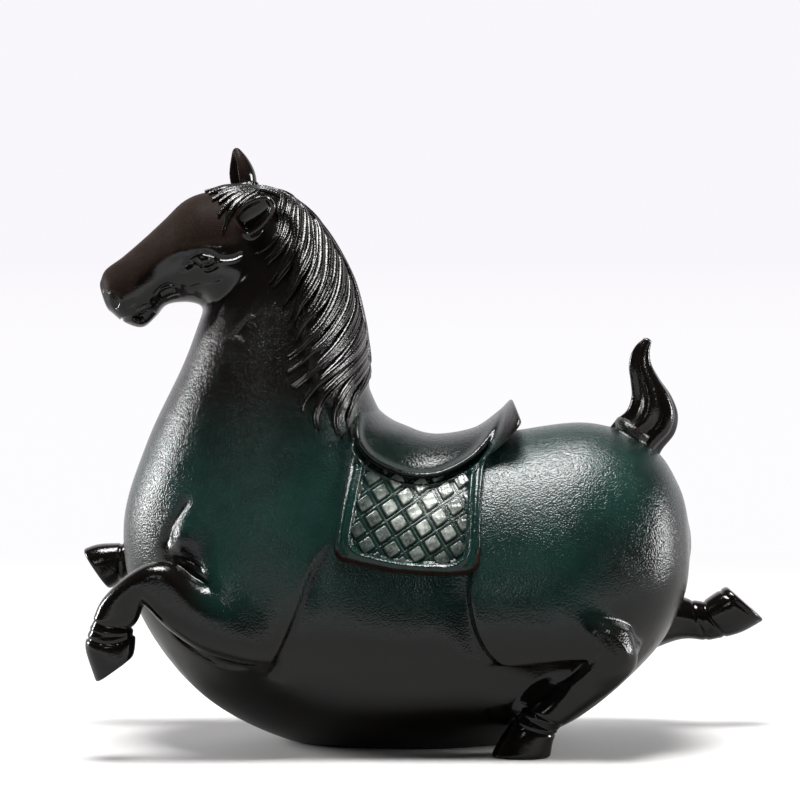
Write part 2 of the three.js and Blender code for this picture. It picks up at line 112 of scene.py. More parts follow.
trunk = {
    "pear": 0.1,
    "square": 0.94,
    "halfWidth": 51.0,
    "stations": [
        [103.2, 75, 103.4, 65, 0, 6],
        [99.4, 89.5, 99.8, 47.5, 0, 25],
        [89.5, 103.4, 87.5, 28.5, 0, 40],
        [68.3, 111.4, 59.8, 6, 0, 49],
        [40.3, 108.5, 24.6, -3.2, 0, 51],
        [14, 104.4, -7, -3.9, 0, 51],
        [-1.1, 110.5, -38.7, 1.1, 0, 51],
        [-8.7, 123, -68.6, 17.4, 0, 49.5],
        [-11.9, 136, -89.5, 45.6, 0, 45],
        [-14.3, 147.5, -95, 75.6, 0, 39],
        [-17.5, 159.5, -86.9, 104.4, 0, 32.5],
        [-23.4, 170.2, -73.8, 132.5, 0, 25.5],
        [-33, 183, -65.3, 154.5, 0, 18.5],
        [-41, 188, -58, 164, 0, 13],
    ],
    "muscles": [(-48, 68, 20, 20, 2.6), (58, 58, 22, 22, 3)],
    "around": 200,
    "along": 240,
    "ends": (0.4, 3),
    "halvings": 24,
    "nearPole": 0.995,
}


def swell(points):
    sideways = np.minimum(1, np.abs(points[..., 1]) / trunk["halfWidth"]) ** 2
    total = 0
    for x, z, reachX, reachZ, rise in trunk["muscles"]:
        total = total + rise * np.exp(-((points[..., 0] - x) / reachX) ** 2
                                      - ((points[..., 2] - z) / reachZ) ** 2)
    return total * sideways


def skinOf(sections, around=96, bulges=(0.4, 0.4), pear=0.0, square=1.0, lift=None, flute=None, capRings=5):
    centre, up, side = sections
    along = len(centre) - 1
    angle = np.arange(around) * 2 * math.pi / around
    ends = [centre[0] - centre[1], centre[-1] - centre[-2]]
    ends = [way / np.linalg.norm(way) for way in ends]
    rows = [(0, p) for p in np.linspace(1, 0, capRings, endpoint=False)[1:]]
    rows += [(i, 0) for i in range(along + 1)]
    rows += [(along, p) for p in np.linspace(0, 1, capRings, endpoint=False)[1:]]
    rings = []
    for i, past in rows:
        shrink, push = math.cos(past * math.pi / 2), math.sin(past * math.pi / 2)
        here = tuple(np.repeat(part[i:i + 1], around, 0) for part in (centre, up, side))
        bare = sectionPoints(here, angle, pear=pear, square=square)
        rise = lift(bare, np.cos(angle)) if lift else 0.0
        groove = flute(angle, i / along) if flute else 1.0
        ring = sectionPoints(here, angle, rise, shrink * groove, pear, square)
        end = 0 if i == 0 else 1
        rings.append(ring + ends[end] * push * bulges[end] if past else ring)
    points = np.vstack([*rings, centre[:1] + ends[0] * bulges[0], centre[-1:] + ends[1] * bulges[1]])
    return points, *sweptFaces(len(rings), around)


def sweptFaces(rings, around):
    row = np.arange(rings - 1)[:, None] * around
    col = np.arange(around)[None, :]
    after = (col + 1) % around
    quads = np.stack([row + col, row + after, row + around + after, row + around + col], -1).reshape(-1, 4)
    spin, after, last = np.arange(around), (np.arange(around) + 1) % around, (rings - 1) * around
    caps = np.vstack([np.stack([np.full(around, rings * around), after, spin], 1),
                      np.stack([np.full(around, rings * around + 1), last + spin, last + after], 1)])
    return quads, caps


def loftSkin(stations, around=96, along=120, span=(0.0, 1.0), **looks):
    return skinOf(sectionsAt(stations, np.linspace(*span, along + 1)), around, **looks)


def ball(centre, radii, tilt=0.0, count=48):
    lat = np.linspace(0, math.pi, count)[1:-1]
    lon = np.arange(2 * count) * math.pi / count
    grid = np.stack([np.sin(lat)[:, None] * np.cos(lon), np.sin(lat)[:, None] * np.sin(lon),
                     np.repeat(np.cos(lat)[:, None], 2 * count, 1)], -1).reshape(-1, 3)
    points = np.vstack([grid, [[0, 0, 1], [0, 0, -1]]]) * radii
    c, s = math.cos(tilt), math.sin(tilt)
    points = np.stack([points[:, 0] * c - points[:, 2] * s, points[:, 1],
                       points[:, 0] * s + points[:, 2] * c], 1)
    return points + np.asarray(centre), *sweptFaces(count - 2, 2 * count)


# Where the flank lies at a place of the side view, as a section number and an angle round it

def flankPlace(x, z):
    x, z = np.asarray(x, float), np.asarray(z, float)

    def turn(t):
        centre, up, _ = sectionsAt(trunk["stations"], t)
        return up[:, 0] * (z - centre[:, 2]) - up[:, 2] * (x - centre[:, 0])

    low, high = np.zeros_like(x), np.ones_like(x)
    atLow = turn(low)
    for _ in range(trunk["halvings"]):
        middle = (low + high) / 2
        same = atLow * turn(middle) > 0
        low, high = np.where(same, middle, low), np.where(same, high, middle)
    t = (low + high) / 2
    centre, up, _ = sectionsAt(trunk["stations"], t)
    rise = ((x - centre[:, 0]) * up[:, 0] + (z - centre[:, 2]) * up[:, 2]) / (up ** 2).sum(1)
    rise = np.clip(rise, -trunk["nearPole"], trunk["nearPole"])
    return t, np.arccos(power(rise, 1 / trunk["square"]))


def flankPoints(t, angle, side, lift=0.0):
    points = sectionPoints(sectionsAt(trunk["stations"], t), angle, lift, 1.0, trunk["pear"],
                           trunk["square"])
    points[:, 1] *= side
    return points


# The cast: forms are poured into one distance field and run together with soft fillets.
# Grids are the spacing of the field in millimetres. Blends are the fillets where forms run together.
# Seams: a finer part laps over its neighbour, then dips under it and ends at a wall.

cast = {
    "bodyLow": (-110, -60, -3),
    "bodyHigh": (126, 60, 200),
    "bodyGrid": 0.95,
    "headGrid": 0.5,
    "faceGrid": 0.33,
    "legGrid": 0.5,
    "reach": 5.0,
    "bandEdge": 0.01,
    "softness": 0.5,
    "softReach": 2.5,
    "easeRounds": 3,
    "snapRounds": 2,
    "snapStep": 0.4,
    "seamLap": 0.9,
    "seamRun": 3.0,
    "seamDip": 0.8,
    "seamWall": 6.0,
    "limbBlend": 2.6,
    "neckBlend": 4.0,
    "jawBlend": 2.2,
    "hoofBlend": 0.5,
    "thighBlend": 3.0,
    "cannonBlend": 1.2,
    "earBlend": 1.2,
    "scoopBlend": 0.6,
    "poolRounds": 8,
    "poolDepth": 0.3,
}


def smoothMin(a, b, blend):
    if blend <= 0:
        return np.minimum(a, b)
    h = np.clip(0.5 + 0.5 * (b - a) / blend, 0, 1)
    return b * (1 - h) + a * h - blend * h * (1 - h)


class Cast:
    def __init__(self, low, high, grid, reach):
        self.grid, self.reach = grid, reach
        self.first = np.floor(np.array(low) / grid).astype(int)
        self.shape = np.ceil(np.array(high) / grid).astype(int) - self.first + 1
        axes = [(self.first[a] + np.arange(self.shape[a])) * grid for a in range(3)]
        self.x, self.y, self.z = axes[0][:, None, None], axes[1][None, :, None], axes[2][None, None, :]
        self.low, self.high = np.array(low, float), np.array(high, float)
        self.field = np.full(self.shape, reach, np.float32)

    def reads(self, skin):
        points, quads, caps = skin
        if np.any(points.max(0) < self.low - self.reach) or np.any(points.min(0) > self.high + self.reach):
            return None
        level = openvdb.FloatGrid.createLevelSetFromPolygons(
            points.astype(np.float32), triangles=caps.astype(np.uint32), quads=quads.astype(np.uint32),
            transform=openvdb.createLinearTransform(voxelSize=self.grid), halfWidth=self.reach / self.grid)
        values = np.empty(self.shape, np.float32)
        level.copyToArray(values, ijk=tuple(int(i) for i in self.first))
        return values

    def pour(self, skin, blend):
        values = self.reads(skin)
        if values is not None:
            inBand = values < self.reach - cast["bandEdge"]
            self.field = np.where(inBand, smoothMin(self.field, values, blend), self.field)

    def soften(self, radius):
        spread = radius / self.grid
        reach = max(1, int(math.ceil(cast["softReach"] * spread)))
        weights = np.exp(-0.5 * (np.arange(-reach, reach + 1) / spread) ** 2)
        weights = (weights / weights.sum()).astype(np.float32)
        for axis in range(3):
            pads = [(0, 0)] * 3
            pads[axis] = (reach, reach)
            padded = np.pad(self.field, pads, mode="edge")
            total = np.zeros_like(self.field)
            for i, weight in enumerate(weights):
                cut = [slice(None)] * 3
                cut[axis] = slice(i, i + self.shape[axis])
                total += weight * padded[tuple(cut)]
            self.field = total

    def at(self, points):
        place = points / self.grid - self.first
        place = np.clip(place, 0, self.shape - 1.001)  # stays inside the last cell
        i = place.astype(int)
        w = place - i
        total = 0
        for dx in (0, 1):
            for dy in (0, 1):
                for dz in (0, 1):
                    weight = np.abs(1 - dx - w[:, 0]) * np.abs(1 - dy - w[:, 1]) * np.abs(1 - dz - w[:, 2])
                    total = total + weight * self.field[i[:, 0] + dx, i[:, 1] + dy, i[:, 2] + dz]
        return total

    def slope(self, points):
        step = self.grid
        out = np.empty_like(points)
        for a in range(3):
            move = np.zeros(3)
            move[a] = step
            out[:, a] = self.at(points + move) - self.at(points - move)
        return out / np.maximum(np.linalg.norm(out, axis=1, keepdims=True), 1e-9)

    def skin(self):
        level = openvdb.FloatGrid(self.reach)
        level.copyFromArray(self.field, ijk=tuple(int(i) for i in self.first))
        level.transform = openvdb.createLinearTransform(voxelSize=self.grid)
        points, quads = level.convertToQuads(isovalue=0)
        points = points.astype(float)
        for _ in range(cast["easeRounds"]):
            normal = self.slope(points)
            eased = easedPoints(points, quads)
            points = eased - normal * ((eased - points) * normal).sum(1, keepdims=True)
            for _ in range(cast["snapRounds"]):
                normal = self.slope(points)
                points -= normal * np.clip(self.at(points), -cast["snapStep"], cast["snapStep"])[:, None]
        return points, quads.astype(int)


def easedPoints(points, quads):
    count = len(points)
    total, number = np.zeros((count, 3)), np.zeros(count)
    for a, b in ((0, 1), (1, 2), (2, 3), (3, 0)):
        start, end = quads[:, a], quads[:, b]
        for c in range(3):
            total[:, c] += (np.bincount(start, points[end, c], count)
                            + np.bincount(end, points[start, c], count))
        number += np.bincount(start, minlength=count) + np.bincount(end, minlength=count)
    return 0.5 * points + 0.5 * total / np.maximum(number, 1)[:, None]


def skinNormals(points, quads):
    a, b, c, d = (points[quads[:, i]] for i in range(4))
    face = np.cross(c - a, d - b)
    out = np.zeros_like(points)
    for i in range(4):
        for axis in range(3):
            out[:, axis] += np.bincount(quads[:, i], face[:, axis], len(points))
    return out / np.maximum(np.linalg.norm(out, axis=1, keepdims=True), 1e-12)


# The parts of the skin that get a finer grid, each one the space inside a few planes.
# A plane is x, y, z and a least value: a point is inside where its product with x, y, z is above that.

regions = {
    "head": {"grid": cast["headGrid"], "low": (-106, -36, 130), "high": (-8, 36, 211),
             "planes": [(-0.2, 0, 1, 156)], "without": "face"},
    "face": {"grid": cast["faceGrid"], "low": (-107, -26, 137), "high": (-46, 26, 210.5),
             "planes": [(-1, 0, 0, 50), (0, 0, 1, 141)]},
    "near_foreleg": {"grid": cast["legGrid"], "low": (-110, -60, 18), "high": (-54, -20, 84),
                     "planes": [(-1, 0, 0, 62), (0, -1, 0, 29), (0, 0, -1, -77)]},
    "near_hind_leg": {"grid": cast["legGrid"], "low": (-3, -60, -2), "high": (100, -7, 80),
                      "planes": [(1, 0, 0, 6), (-1, 0, 0, -92), (0, -1, 0, 15), (0, 0, -1, -70)]},
    "far_foreleg": {"grid": cast["legGrid"], "low": (-118, 16, 34), "high": (-58, 56, 86),
                    "planes": [(-1, 0, 0, 66), (0, 1, 0, 24), (0, 0, -1, -78)]},
    "far_hind_leg": {"grid": cast["legGrid"], "low": (72, 6, 14), "high": (138, 58, 68),
                     "planes": [(1, 0, 0, 80), (0, 1, 0, 14), (0, 0, -1, -60)]},
}


def depthIn(name, x, y, z):
    depth = None
    for nx, ny, nz, offset in regions[name]["planes"]:
        length = math.sqrt(nx * nx + ny * ny + nz * nz)
        here = (nx * x + ny * y + nz * z - offset) / length
        depth = here if depth is None else np.minimum(depth, here)
    return depth


def trunkSkin(span=(0.0, 1.0), lift=0.0):
    def rise(bare, c):
        return swell(bare) + (lift(bare, c) if callable(lift) else lift)

    along = int(trunk["along"] * (span[1] - span[0]))
    return loftSkin(trunk["stations"], trunk["around"], along, span, bulges=trunk["ends"],
                    pear=trunk["pear"], square=trunk["square"], lift=rise)


# Limbs and hooves are lofts through stations like the trunk's

limbShape = {
    "around": 80,
    "along": 120,
    "ends": (2, 0.6),
    "cannonEnds": (3, 0.6),
    "hoofAlong": 40,
    "hoofEnds": (0.3, 0.15),
    "hoofSquare": 0.8,
    "hoofCapRings": 3,
}
nearFore = {
    "square": 0.72,
    "limb": [
        [-58, 92, -16, 84, -26, 12],
        [-65, 78, -22.5, 68, -33.5, 13],
        [-66, 67, -29.5, 48, -38.5, 13],
        [-64, 60.5, -40.5, 32, -41.5, 12],
        [-68, 61, -62, 35.2, -43, 11.6],
        [-76, 66.4, -75.5, 43.5, -46, 9.8],
        [-83, 67, -83.4, 51.6, -47, 7.8],
        [-91.2, 62.4, -84.8, 53.4, -47, 6.6],
        [-98.8, 55, -85.6, 51, -46.4, 6.3],
        [-101.9, 48.8, -87, 47.4, -46, 6.5],
        [-102.8, 45.2, -89.2, 44.4, -45.5, 6.7],
        [-104.6, 42.0, -88.4, 42.4, -45.5, 7.5],
    ],
    "hoof": [
        [-104.9, 41.2, -87.9, 42.4, -45.5, 7.4],
        [-104.6, 36.5, -88.0, 38.6, -45.5, 8.1],
        [-101.2, 26.2, -88.6, 35.2, -45.5, 8.3],
    ],
}
farFore = {
    "square": 0.9,
    "limb": [
        [-45, 82, -42, 46, 33, 12],
        [-60, 70, -58, 42, 36, 13],
        [-74, 66, -73, 45, 39, 10.4],
        [-86, 66, -85, 52, 40, 7.2],
        [-94, 65.2, -93, 54, 40, 6.1],
        [-98.6, 65.6, -97.4, 53, 40, 6.8],
    ],
    "hoof": [
        [-98, 65.4, -97, 53, 40, 6.8],
        [-107, 65, -100.5, 50.4, 40, 7.8],
        [-112.9, 63.2, -103.2, 48.8, 40, 8.2],
    ],
}
nearHind = {
    "square": 0.8,
    "limb": [
        [24, 84, 60, 80, -26, 10],
        [24.2, 64, 67, 60, -37.0, 12.8],
        [25.0, 50, 77, 45, -40.2, 13.2],
        [27.6, 41.5, 83.6, 38.2, -40.5, 12.6],
        [34.5, 34.6, 80.5, 34.2, -40.5, 10.6],
    ],
    "cannon": [
        [63, 48, 80.6, 43.5, -43.5, 8.4],
        [66.0, 39.0, 82.2, 37, -44.8, 9.2],
        [62.2, 30.2, 81.5, 31.2, -44.0, 8.6],
        [55.5, 25, 75.5, 24.4, -42, 7.4],
        [48.8, 19.8, 67.4, 18.2, -41, 7.0],
        [44.2, 16.2, 60.6, 13.2, -40.5, 7.3],
        [42.4, 14.6, 57.8, 11, -40.2, 7.6],
    ],
    "hoof": [
        [41.6, 13.9, 56.6, 10.6, -40, 7.4],
        [36.2, 6.8, 54.0, 5.6, -39.8, 8.3],
        [31.9, -1.2, 52.9, -1.2, -39.6, 9],
    ],
}
farHind = {
    "square": 0.9,
    "limb": [
        [56, 86, 48, 44, 30, 15],
        [76, 70, 62, 22, 33.5, 17.5],
        [94, 52.5, 86, 25.5, 35, 14],
        [104.5, 46.2, 102.5, 31, 35, 8.4],
        [111.2, 44.6, 113, 30.6, 35, 6.8],
    ],
    "hoof": [
        [110.6, 44.4, 113.2, 30.8, 35, 6.8],
        [114.6, 47.2, 124, 33.4, 35, 7.9],
        [119.4, 50.2, 133, 38.2, 35, 8.4],
    ],
}


def limbSkins(leg):
    around, along = limbShape["around"], limbShape["along"]
    limb = loftSkin(leg["limb"], around, along, bulges=limbShape["ends"], square=leg["square"])
    hoof = loftSkin(leg["hoof"], around, limbShape["hoofAlong"], bulges=limbShape["hoofEnds"],
                    square=limbShape["hoofSquare"], capRings=limbShape["hoofCapRings"])
    if "cannon" not in leg:
        return limb, None, hoof
    cannon = loftSkin(leg["cannon"], around, along, bulges=limbShape["cannonEnds"], square=leg["square"])
    return limb, cannon, hoof


crest = {
    "line": [(-45, 194.2), (-36.7, 190.8), (-26.3, 180.8), (-19.4, 168.7), (-13.9, 154.3), (-10.6, 140),
             (-9.6, 127)],
    "rows": 60,
    "drop": 0.9,
    "deep": 9.2,
    "halfWidth": (10, 4.6),
    "around": 64,
    "along": 90,
    "ends": (3, 4),
    "pear": 0.25,
    "blend": 3.0,
}


def crestSkin():
    path = evenPath(crest["line"], crest["rows"])
    way = np.gradient(path, axis=0)
    way /= np.linalg.norm(way, axis=1, keepdims=True)
    up = np.stack([-way[:, 1], way[:, 0]], 1)
    top = path - up * crest["drop"]
    low = top - up * crest["deep"]
    half = np.linspace(*crest["halfWidth"], crest["rows"])
    rows = np.column_stack([top, low, np.zeros(crest["rows"]), half])
    return loftSkin(rows, crest["around"], crest["along"], bulges=crest["ends"], pear=crest["pear"])


ears = {
    "upright": {"root": (-53.2, 11, 190.5), "tip": (-55.8, 11.5, 207.6), "open": (-0.75, -0.35, 0),
                "width": 5.2, "depth": 5.5, "blunt": 0.8},
    "laidBack": {"root": (-54.0, -15.0, 179.2), "tip": (-42.0, -20.0, 189.2), "open": (-0.25, -1, 0.15),
                 "width": 5.9, "depth": 3.9, "blunt": 0.72},
}


# Both ears are leaves, swelling from foot to tip, and a smaller leaf scoops them out

earShape = {
    "span": (0, 0.97),
    "foot": 0.12,
    "start": 0.2,
    "roundness": 0.8,
    "rows": 41,
    "around": 64,
    "ends": (1, 0.8),
    "scoopSpan": (0.16, 0.88),
    "scoopWidth": 0.74,
    "scoopShift": 0.72,
}


def leafSkin(ear, span, width, depth, shift):
    root, tip, out = (np.array(ear[k], float) for k in ("root", "tip", "open"))
    length = tip - root
    out /= np.linalg.norm(out)
    across = np.cross(length / np.linalg.norm(length), out)
    t = np.linspace(*span, earShape["rows"])
    arch = np.sin(math.pi * (earShape["start"] + ear["blunt"] * t)) ** earShape["roundness"]
    swelling = earShape["foot"] + (1 - earShape["foot"]) * arch
    centre = root + t[:, None] * length + out * shift
    up = np.repeat(out[None], len(t), 0) * (depth * swelling)[:, None]
    side = np.repeat(across[None], len(t), 0) * (width * swelling)[:, None]
    return skinOf((centre, up, side), earShape["around"], earShape["ends"])


skull = {
    "pear": 0.06,
    "square": 0.92,
    "stations": [
        [-43, 188, -52, 160, 0, 15.5],
        [-52, 193.2, -57.5, 153.4, 0, 19.6],
        [-65.2, 192.2, -67.1, 153.1, 0, 19.5],
        [-73.3, 189.2, -73.2, 153.8, 0, 17.6],
        [-80.5, 182.5, -79.6, 152.8, 0, 15.2],
        [-87.3, 176.2, -83.4, 148.8, 0, 13.8],
        [-95, 169.6, -88.3, 145, 0, 12.4],
        [-101, 165.1, -94.6, 146.8, 0, 10.9],
        [-102.9, 161, -99.6, 150.6, 0, 7],
    ],
    "around": 128,
    "along": 160,
    "ends": (3, 0.8),
    "cheek": (-57.2, 12.6, 165.8),
    "cheekRadii": (11.8, 8.4, 13),
    "cheekTilt": 0.3,
}


def pourHorse(mould):
    mould.pour(trunkSkin(), 0)
    for leg in (nearFore, farFore, nearHind, farHind):
        limb, cannon, hoof = limbSkins(leg)
        mould.pour(limb, cast["limbBlend"] if leg is not nearHind else cast["thighBlend"])
        if cannon:
            mould.pour(cannon, cast["cannonBlend"])
        mould.pour(hoof, cast["hoofBlend"])
    mould.pour(loftSkin(tail["collar"], along=tail["collarAlong"], bulges=tail["collarEnds"]),
               tail["collarBlend"])
    mould.pour(crestSkin(), crest["blend"])
    mould.pour(loftSkin(skull["stations"], skull["around"], skull["along"], bulges=skull["ends"],
                        pear=skull["pear"], square=skull["square"]), cast["neckBlend"])
    pad = mould.reads(trunkSkin(mane["padSpan"], mane["pad"]))
    if pad is not None:
        x, z = np.meshgrid(mould.x.ravel(), mould.z.ravel(), indexing="ij")
        edge = outlineDistance(mane["outline"], x, z)[:, None, :]
        kept = -smoothMin(-pad, -np.broadcast_to(edge, pad.shape), mane["padEdge"])
        mould.field = smoothMin(mould.field, kept, mane["padBlend"])
    x, y, z = skull["cheek"]
    for side in (near, far):
        mould.pour(ball((x, side * y, z), skull["cheekRadii"], skull["cheekTilt"]), cast["jawBlend"])
    for ear in ears.values():
        width, depth = ear["width"], ear["depth"]
        mould.pour(leafSkin(ear, earShape["span"], width, depth, 0), cast["earBlend"])
        scoop = mould.reads(leafSkin(ear, earShape["scoopSpan"], width * earShape["scoopWidth"], depth,
                                     depth * earShape["scoopShift"]))
        if scoop is not None:
            mould.field = -smoothMin(-mould.field, scoop, cast["scoopBlend"])
    mould.field = np.maximum(mould.field, -mould.z)
    mould.soften(cast["softness"])


def smoothStep(start, end, value):
    w = np.clip((value - start) / (end - start), 0, 1)
    return w * w * (3 - 2 * w)


def outlineDistance(outline, x, z):
    x, z = np.broadcast_arrays(np.asarray(x, float), np.asarray(z, float))
    nearest, inside = np.full(x.shape, 1e9), np.zeros(x.shape, bool)
    for (xa, za), (xb, zb) in zip(outline, [*outline[1:], outline[0]]):
        dx, dz = xb - xa, zb - za
        w = np.clip(((x - xa) * dx + (z - za) * dz) / (dx * dx + dz * dz), 0, 1)
        nearest = np.minimum(nearest, np.hypot(x - xa - w * dx, z - za - w * dz))
        if dz:
            inside ^= ((za > z) != (zb > z)) & (x < (xb - xa) * (z - za) / dz + xa)
    return np.where(inside, -nearest, nearest)


# Carving on the side view: each stroke runs along a path, and each hump or hollow round a place

def pathPlace(path, x, z):
    best = np.full(x.shape, 1e9)
    place, lean = np.zeros(x.shape), np.zeros(x.shape)
    count = len(path) - 1
    for i in range(count):
        (xa, za), (xb, zb) = path[i], path[i + 1]
        dx, dz = xb - xa, zb - za
        w = np.clip(((x - xa) * dx + (z - za) * dz) / (dx * dx + dz * dz), 0, 1)
        offX, offZ = x - xa - w * dx, z - za - w * dz
        away = np.hypot(offX, offZ)
        closer = away < best
        best = np.where(closer, away, best)
        place = np.where(closer, (i + w) / count, place)
        lean = np.where(closer, dx * offZ - dz * offX, lean)
    return best, place, np.sign(lean)


carving = {
    "strokePoints": 24,
    "foldPoints": 32,
    "reach": 3,  # in widths, where a stroke has faded out
    "leastEnd": 1e-3,
    "onEnd": 1e-6,
}


def stroke(points, path, width, rise, side=0, ends=0.25):
    path = evenPath(path, carving["strokePoints"])
    reach = carving["reach"] * width
    low, high = path.min(0) - reach, path.max(0) + reach
    x, y, z = points.T
    picked = (x > low[0]) & (x < high[0]) & (z > low[1]) & (z < high[1])
    if side:
        picked &= y * side > 0
    out = np.zeros(len(points))
    if picked.any():
        away, place, _ = pathPlace(path, x[picked], z[picked])
        fade = smoothStep(0, ends, place) * smoothStep(1, 1 - ends, place) if ends else 1.0
        out[picked] = rise * fade * np.exp(-(away / width) ** 2)
    return out


def fold(points, path, side, drop, fall, rise, spread, edge, ends):
    path = evenPath(path, carving["foldPoints"])
    reach = carving["reach"] * max(fall, spread)
    x, y, z = points.T
    low, high = path.min(0) - reach, path.max(0) + reach
    picked = (x > low[0]) & (x < high[0]) & (z > low[1]) & (z < high[1]) & (y * side > 0)
    out = np.zeros(len(points))
    if picked.any():
        away, place, lean = pathPlace(path, x[picked], z[picked])
        signed = away * lean
        up = smoothStep(-edge / 2, edge / 2, signed)
        start, end = (max(share, carving["leastEnd"]) for share in ends)
        fade = smoothStep(0, start, place) * smoothStep(1, 1 - end, place)
        past = np.where((place < carving["onEnd"]) | (place > 1 - carving["onEnd"]), 0.0, 1.0)
        low, high = drop * np.exp(-(signed / fall) ** 2), rise * np.exp(-(signed / spread) ** 2)
        out[picked] = fade * past * (-low * (1 - up) + high * up)
    return out


def hump(points, place, reach, rise, side=0, lean=0.0):
    dx, dz = points[:, 0] - place[0], points[:, 2] - place[1]
    c, s = math.cos(lean), math.sin(lean)
    u, v = (dx * c + dz * s) / reach[0], (dz * c - dx * s) / reach[1]
    out = rise * np.exp(-(u * u + v * v))
    return np.where(points[:, 1] * side > 0, out, 0) if side else out


# Points are x and z on the side view. A fold drops on one side of its path and rises on the other.
# A ridge or ring is a path, a width and a height; a hump is a place, its reach, its height and its lean.

body = {
    "folds": [
        {"path": [(-43.5, 27.5), (-41.5, 31.7), (-37.8, 39.5), (-34.4, 48.0), (-32.0, 54.8),
                  (-29.6, 61.5), (-26.6, 67.6), (-23.2, 72.7), (-19.5, 77.5)],
         "drop": 2.0, "fall": 5.0, "rise": 0.9, "spread": 8.0, "edge": 2.4, "ends": (0.08, 0.35)},
        {"path": [(-40.5, 33.8), (-44.9, 32.0), (-50.6, 31.0), (-57.4, 31.0), (-64.1, 33.0),
                  (-70.9, 37.1), (-76.6, 41.9), (-80.0, 47.3), (-82, 51)],
         "drop": 0.5, "fall": 3.0, "rise": 0.8, "spread": 4.5, "edge": 1.5, "ends": (0.12, 0.3)},
        {"path": [(27.5, 75), (26.1, 68.1), (24.9, 59.6), (25.4, 52.8), (27.1, 45.0), (30.2, 38.2),
                  (34.6, 33.1), (39.0, 31.2), (49.1, 30.6), (60, 31.2)],
         "drop": 3.0, "fall": 7.0, "rise": 0.9, "spread": 8.0, "edge": 2.4, "ends": (0.3, 0.12)},
    ],
    "breastFold": [(-69.4, 90.5), (-70.7, 87.6), (-73.8, 82.5), (-76.2, 78.0), (-77.6, 73.9), (-79, 70)],
    "breastWidth": 1.5,
    "breastDepth": 1.1,
    "breastHump": ((-72.5, 72.5), (4.0, 5.5), 1.2),
    "farShare": 0.75,
    "ridges": [([(-82.6, 66.0), (-77.5, 66.4), (-72.5, 65.0), (-67.4, 62.0), (-62.4, 57.0), (-60.0, 53.1)],
                1.6, 0.5),
               ([(-73.9, 68.2), (-70.6, 67.0), (-66.9, 64.5), (-63.8, 61.8), (-61.0, 58.3)], 1.0, 0.8),
               ([(-76.2, 69.6), (-71.6, 68.7), (-67.6, 66.6), (-64.0, 63.6)], 0.9, -0.8),
               ([(70.6, 44.6), (74.0, 42.4), (77.0, 38.9), (79.2, 34.6)], 0.8, 0.5),
               ([(68.4, 43.4), (71.8, 41.2), (74.9, 38.0), (77.2, 34.8)], 0.6, -0.35),
               ([(72.5, 39.2), (75.4, 36.4), (77.4, 33.4)], 0.6, -0.35)],
    "humps": [((70.5, 41.0), (7.5, 4.2), 2.0, -0.75), ((62.5, 41.5), (7.0, 4.0), -0.9, -0.35),
              ((-76.5, 72), (3.0, 5.0), -0.5, 0.3), ((-70.5, 76.0), (4.5, 5.0), 1.2, 0.2)],
    "hollows": [((46.0, 23.0), (15.0, 7.5), -4.5, -0.25), ((20.0, 8.0), (16.0, 6.0), -1.0, -0.2)],
    "hollowTop": (34, 30),
    "hollowClear": (0.4, 3.2),  # how far the hollows stay off the shank
    "rings": [([(-104, 47.6), (-101.8, 47.5), (-98.0, 46.2), (-93.3, 45.8), (-89.0, 44.8), (-86, 44.6)],
               0.5, -0.4),
              ([(-104, 45.6), (-102.4, 45.2), (-98.1, 44.0), (-93.3, 43.8), (-89.0, 43.8), (-86, 43.8)],
               0.7, 0.4),
              ([(-107, 42.4), (-104.3, 41.7), (-99.6, 40.4), (-94.9, 40.3), (-90.8, 41.3), (-87.8, 42.7),
                (-86, 43.6)], 0.5, -0.6),
              ([(40.6, 18.6), (42.7, 17.7), (45.7, 16.4), (50.8, 14.0), (56.5, 11.4), (60, 10)],
               0.5, -0.45),
              ([(40.0, 15.8), (41.7, 15.0), (44.4, 14.0), (49.1, 11.6), (54.2, 9.6), (60, 8)],
               0.5, -0.35),
              ([(38.0, 14.2), (40.0, 13.0), (42.3, 11.6), (47.4, 9.4), (53.8, 8.0), (58, 7.4)],
               0.45, -0.6)],
    "ringEdge": (0.8, 0.0),
    "ringOut": (-30, -36),
    "farRings": [([(110.8, 46.8), (112.0, 41.1), (114.6, 37.0), (117.7, 33.6), (119, 31)], 0.45, -0.45),
                 ([(116.8, 49.0), (121.5, 45.6), (126.5, 41.6), (130.6, 37.6)], 0.4, -0.45),
                 ([(107.0, 46), (108.0, 40), (110.0, 35), (112.4, 30)], 0.6, -0.35),
                 ([(-98.6, 68), (-99.4, 60), (-98.8, 52), (-98.4, 48)], 0.5, -0.6)],
    "farRingOut": (22, 28),
    "facing": 0.5,
}


def stationOutline(stations):
    upper = [(row[0], row[1]) for row in stations]
    lower = [(row[2], row[3]) for row in stations[::-1]]
    return upper + lower


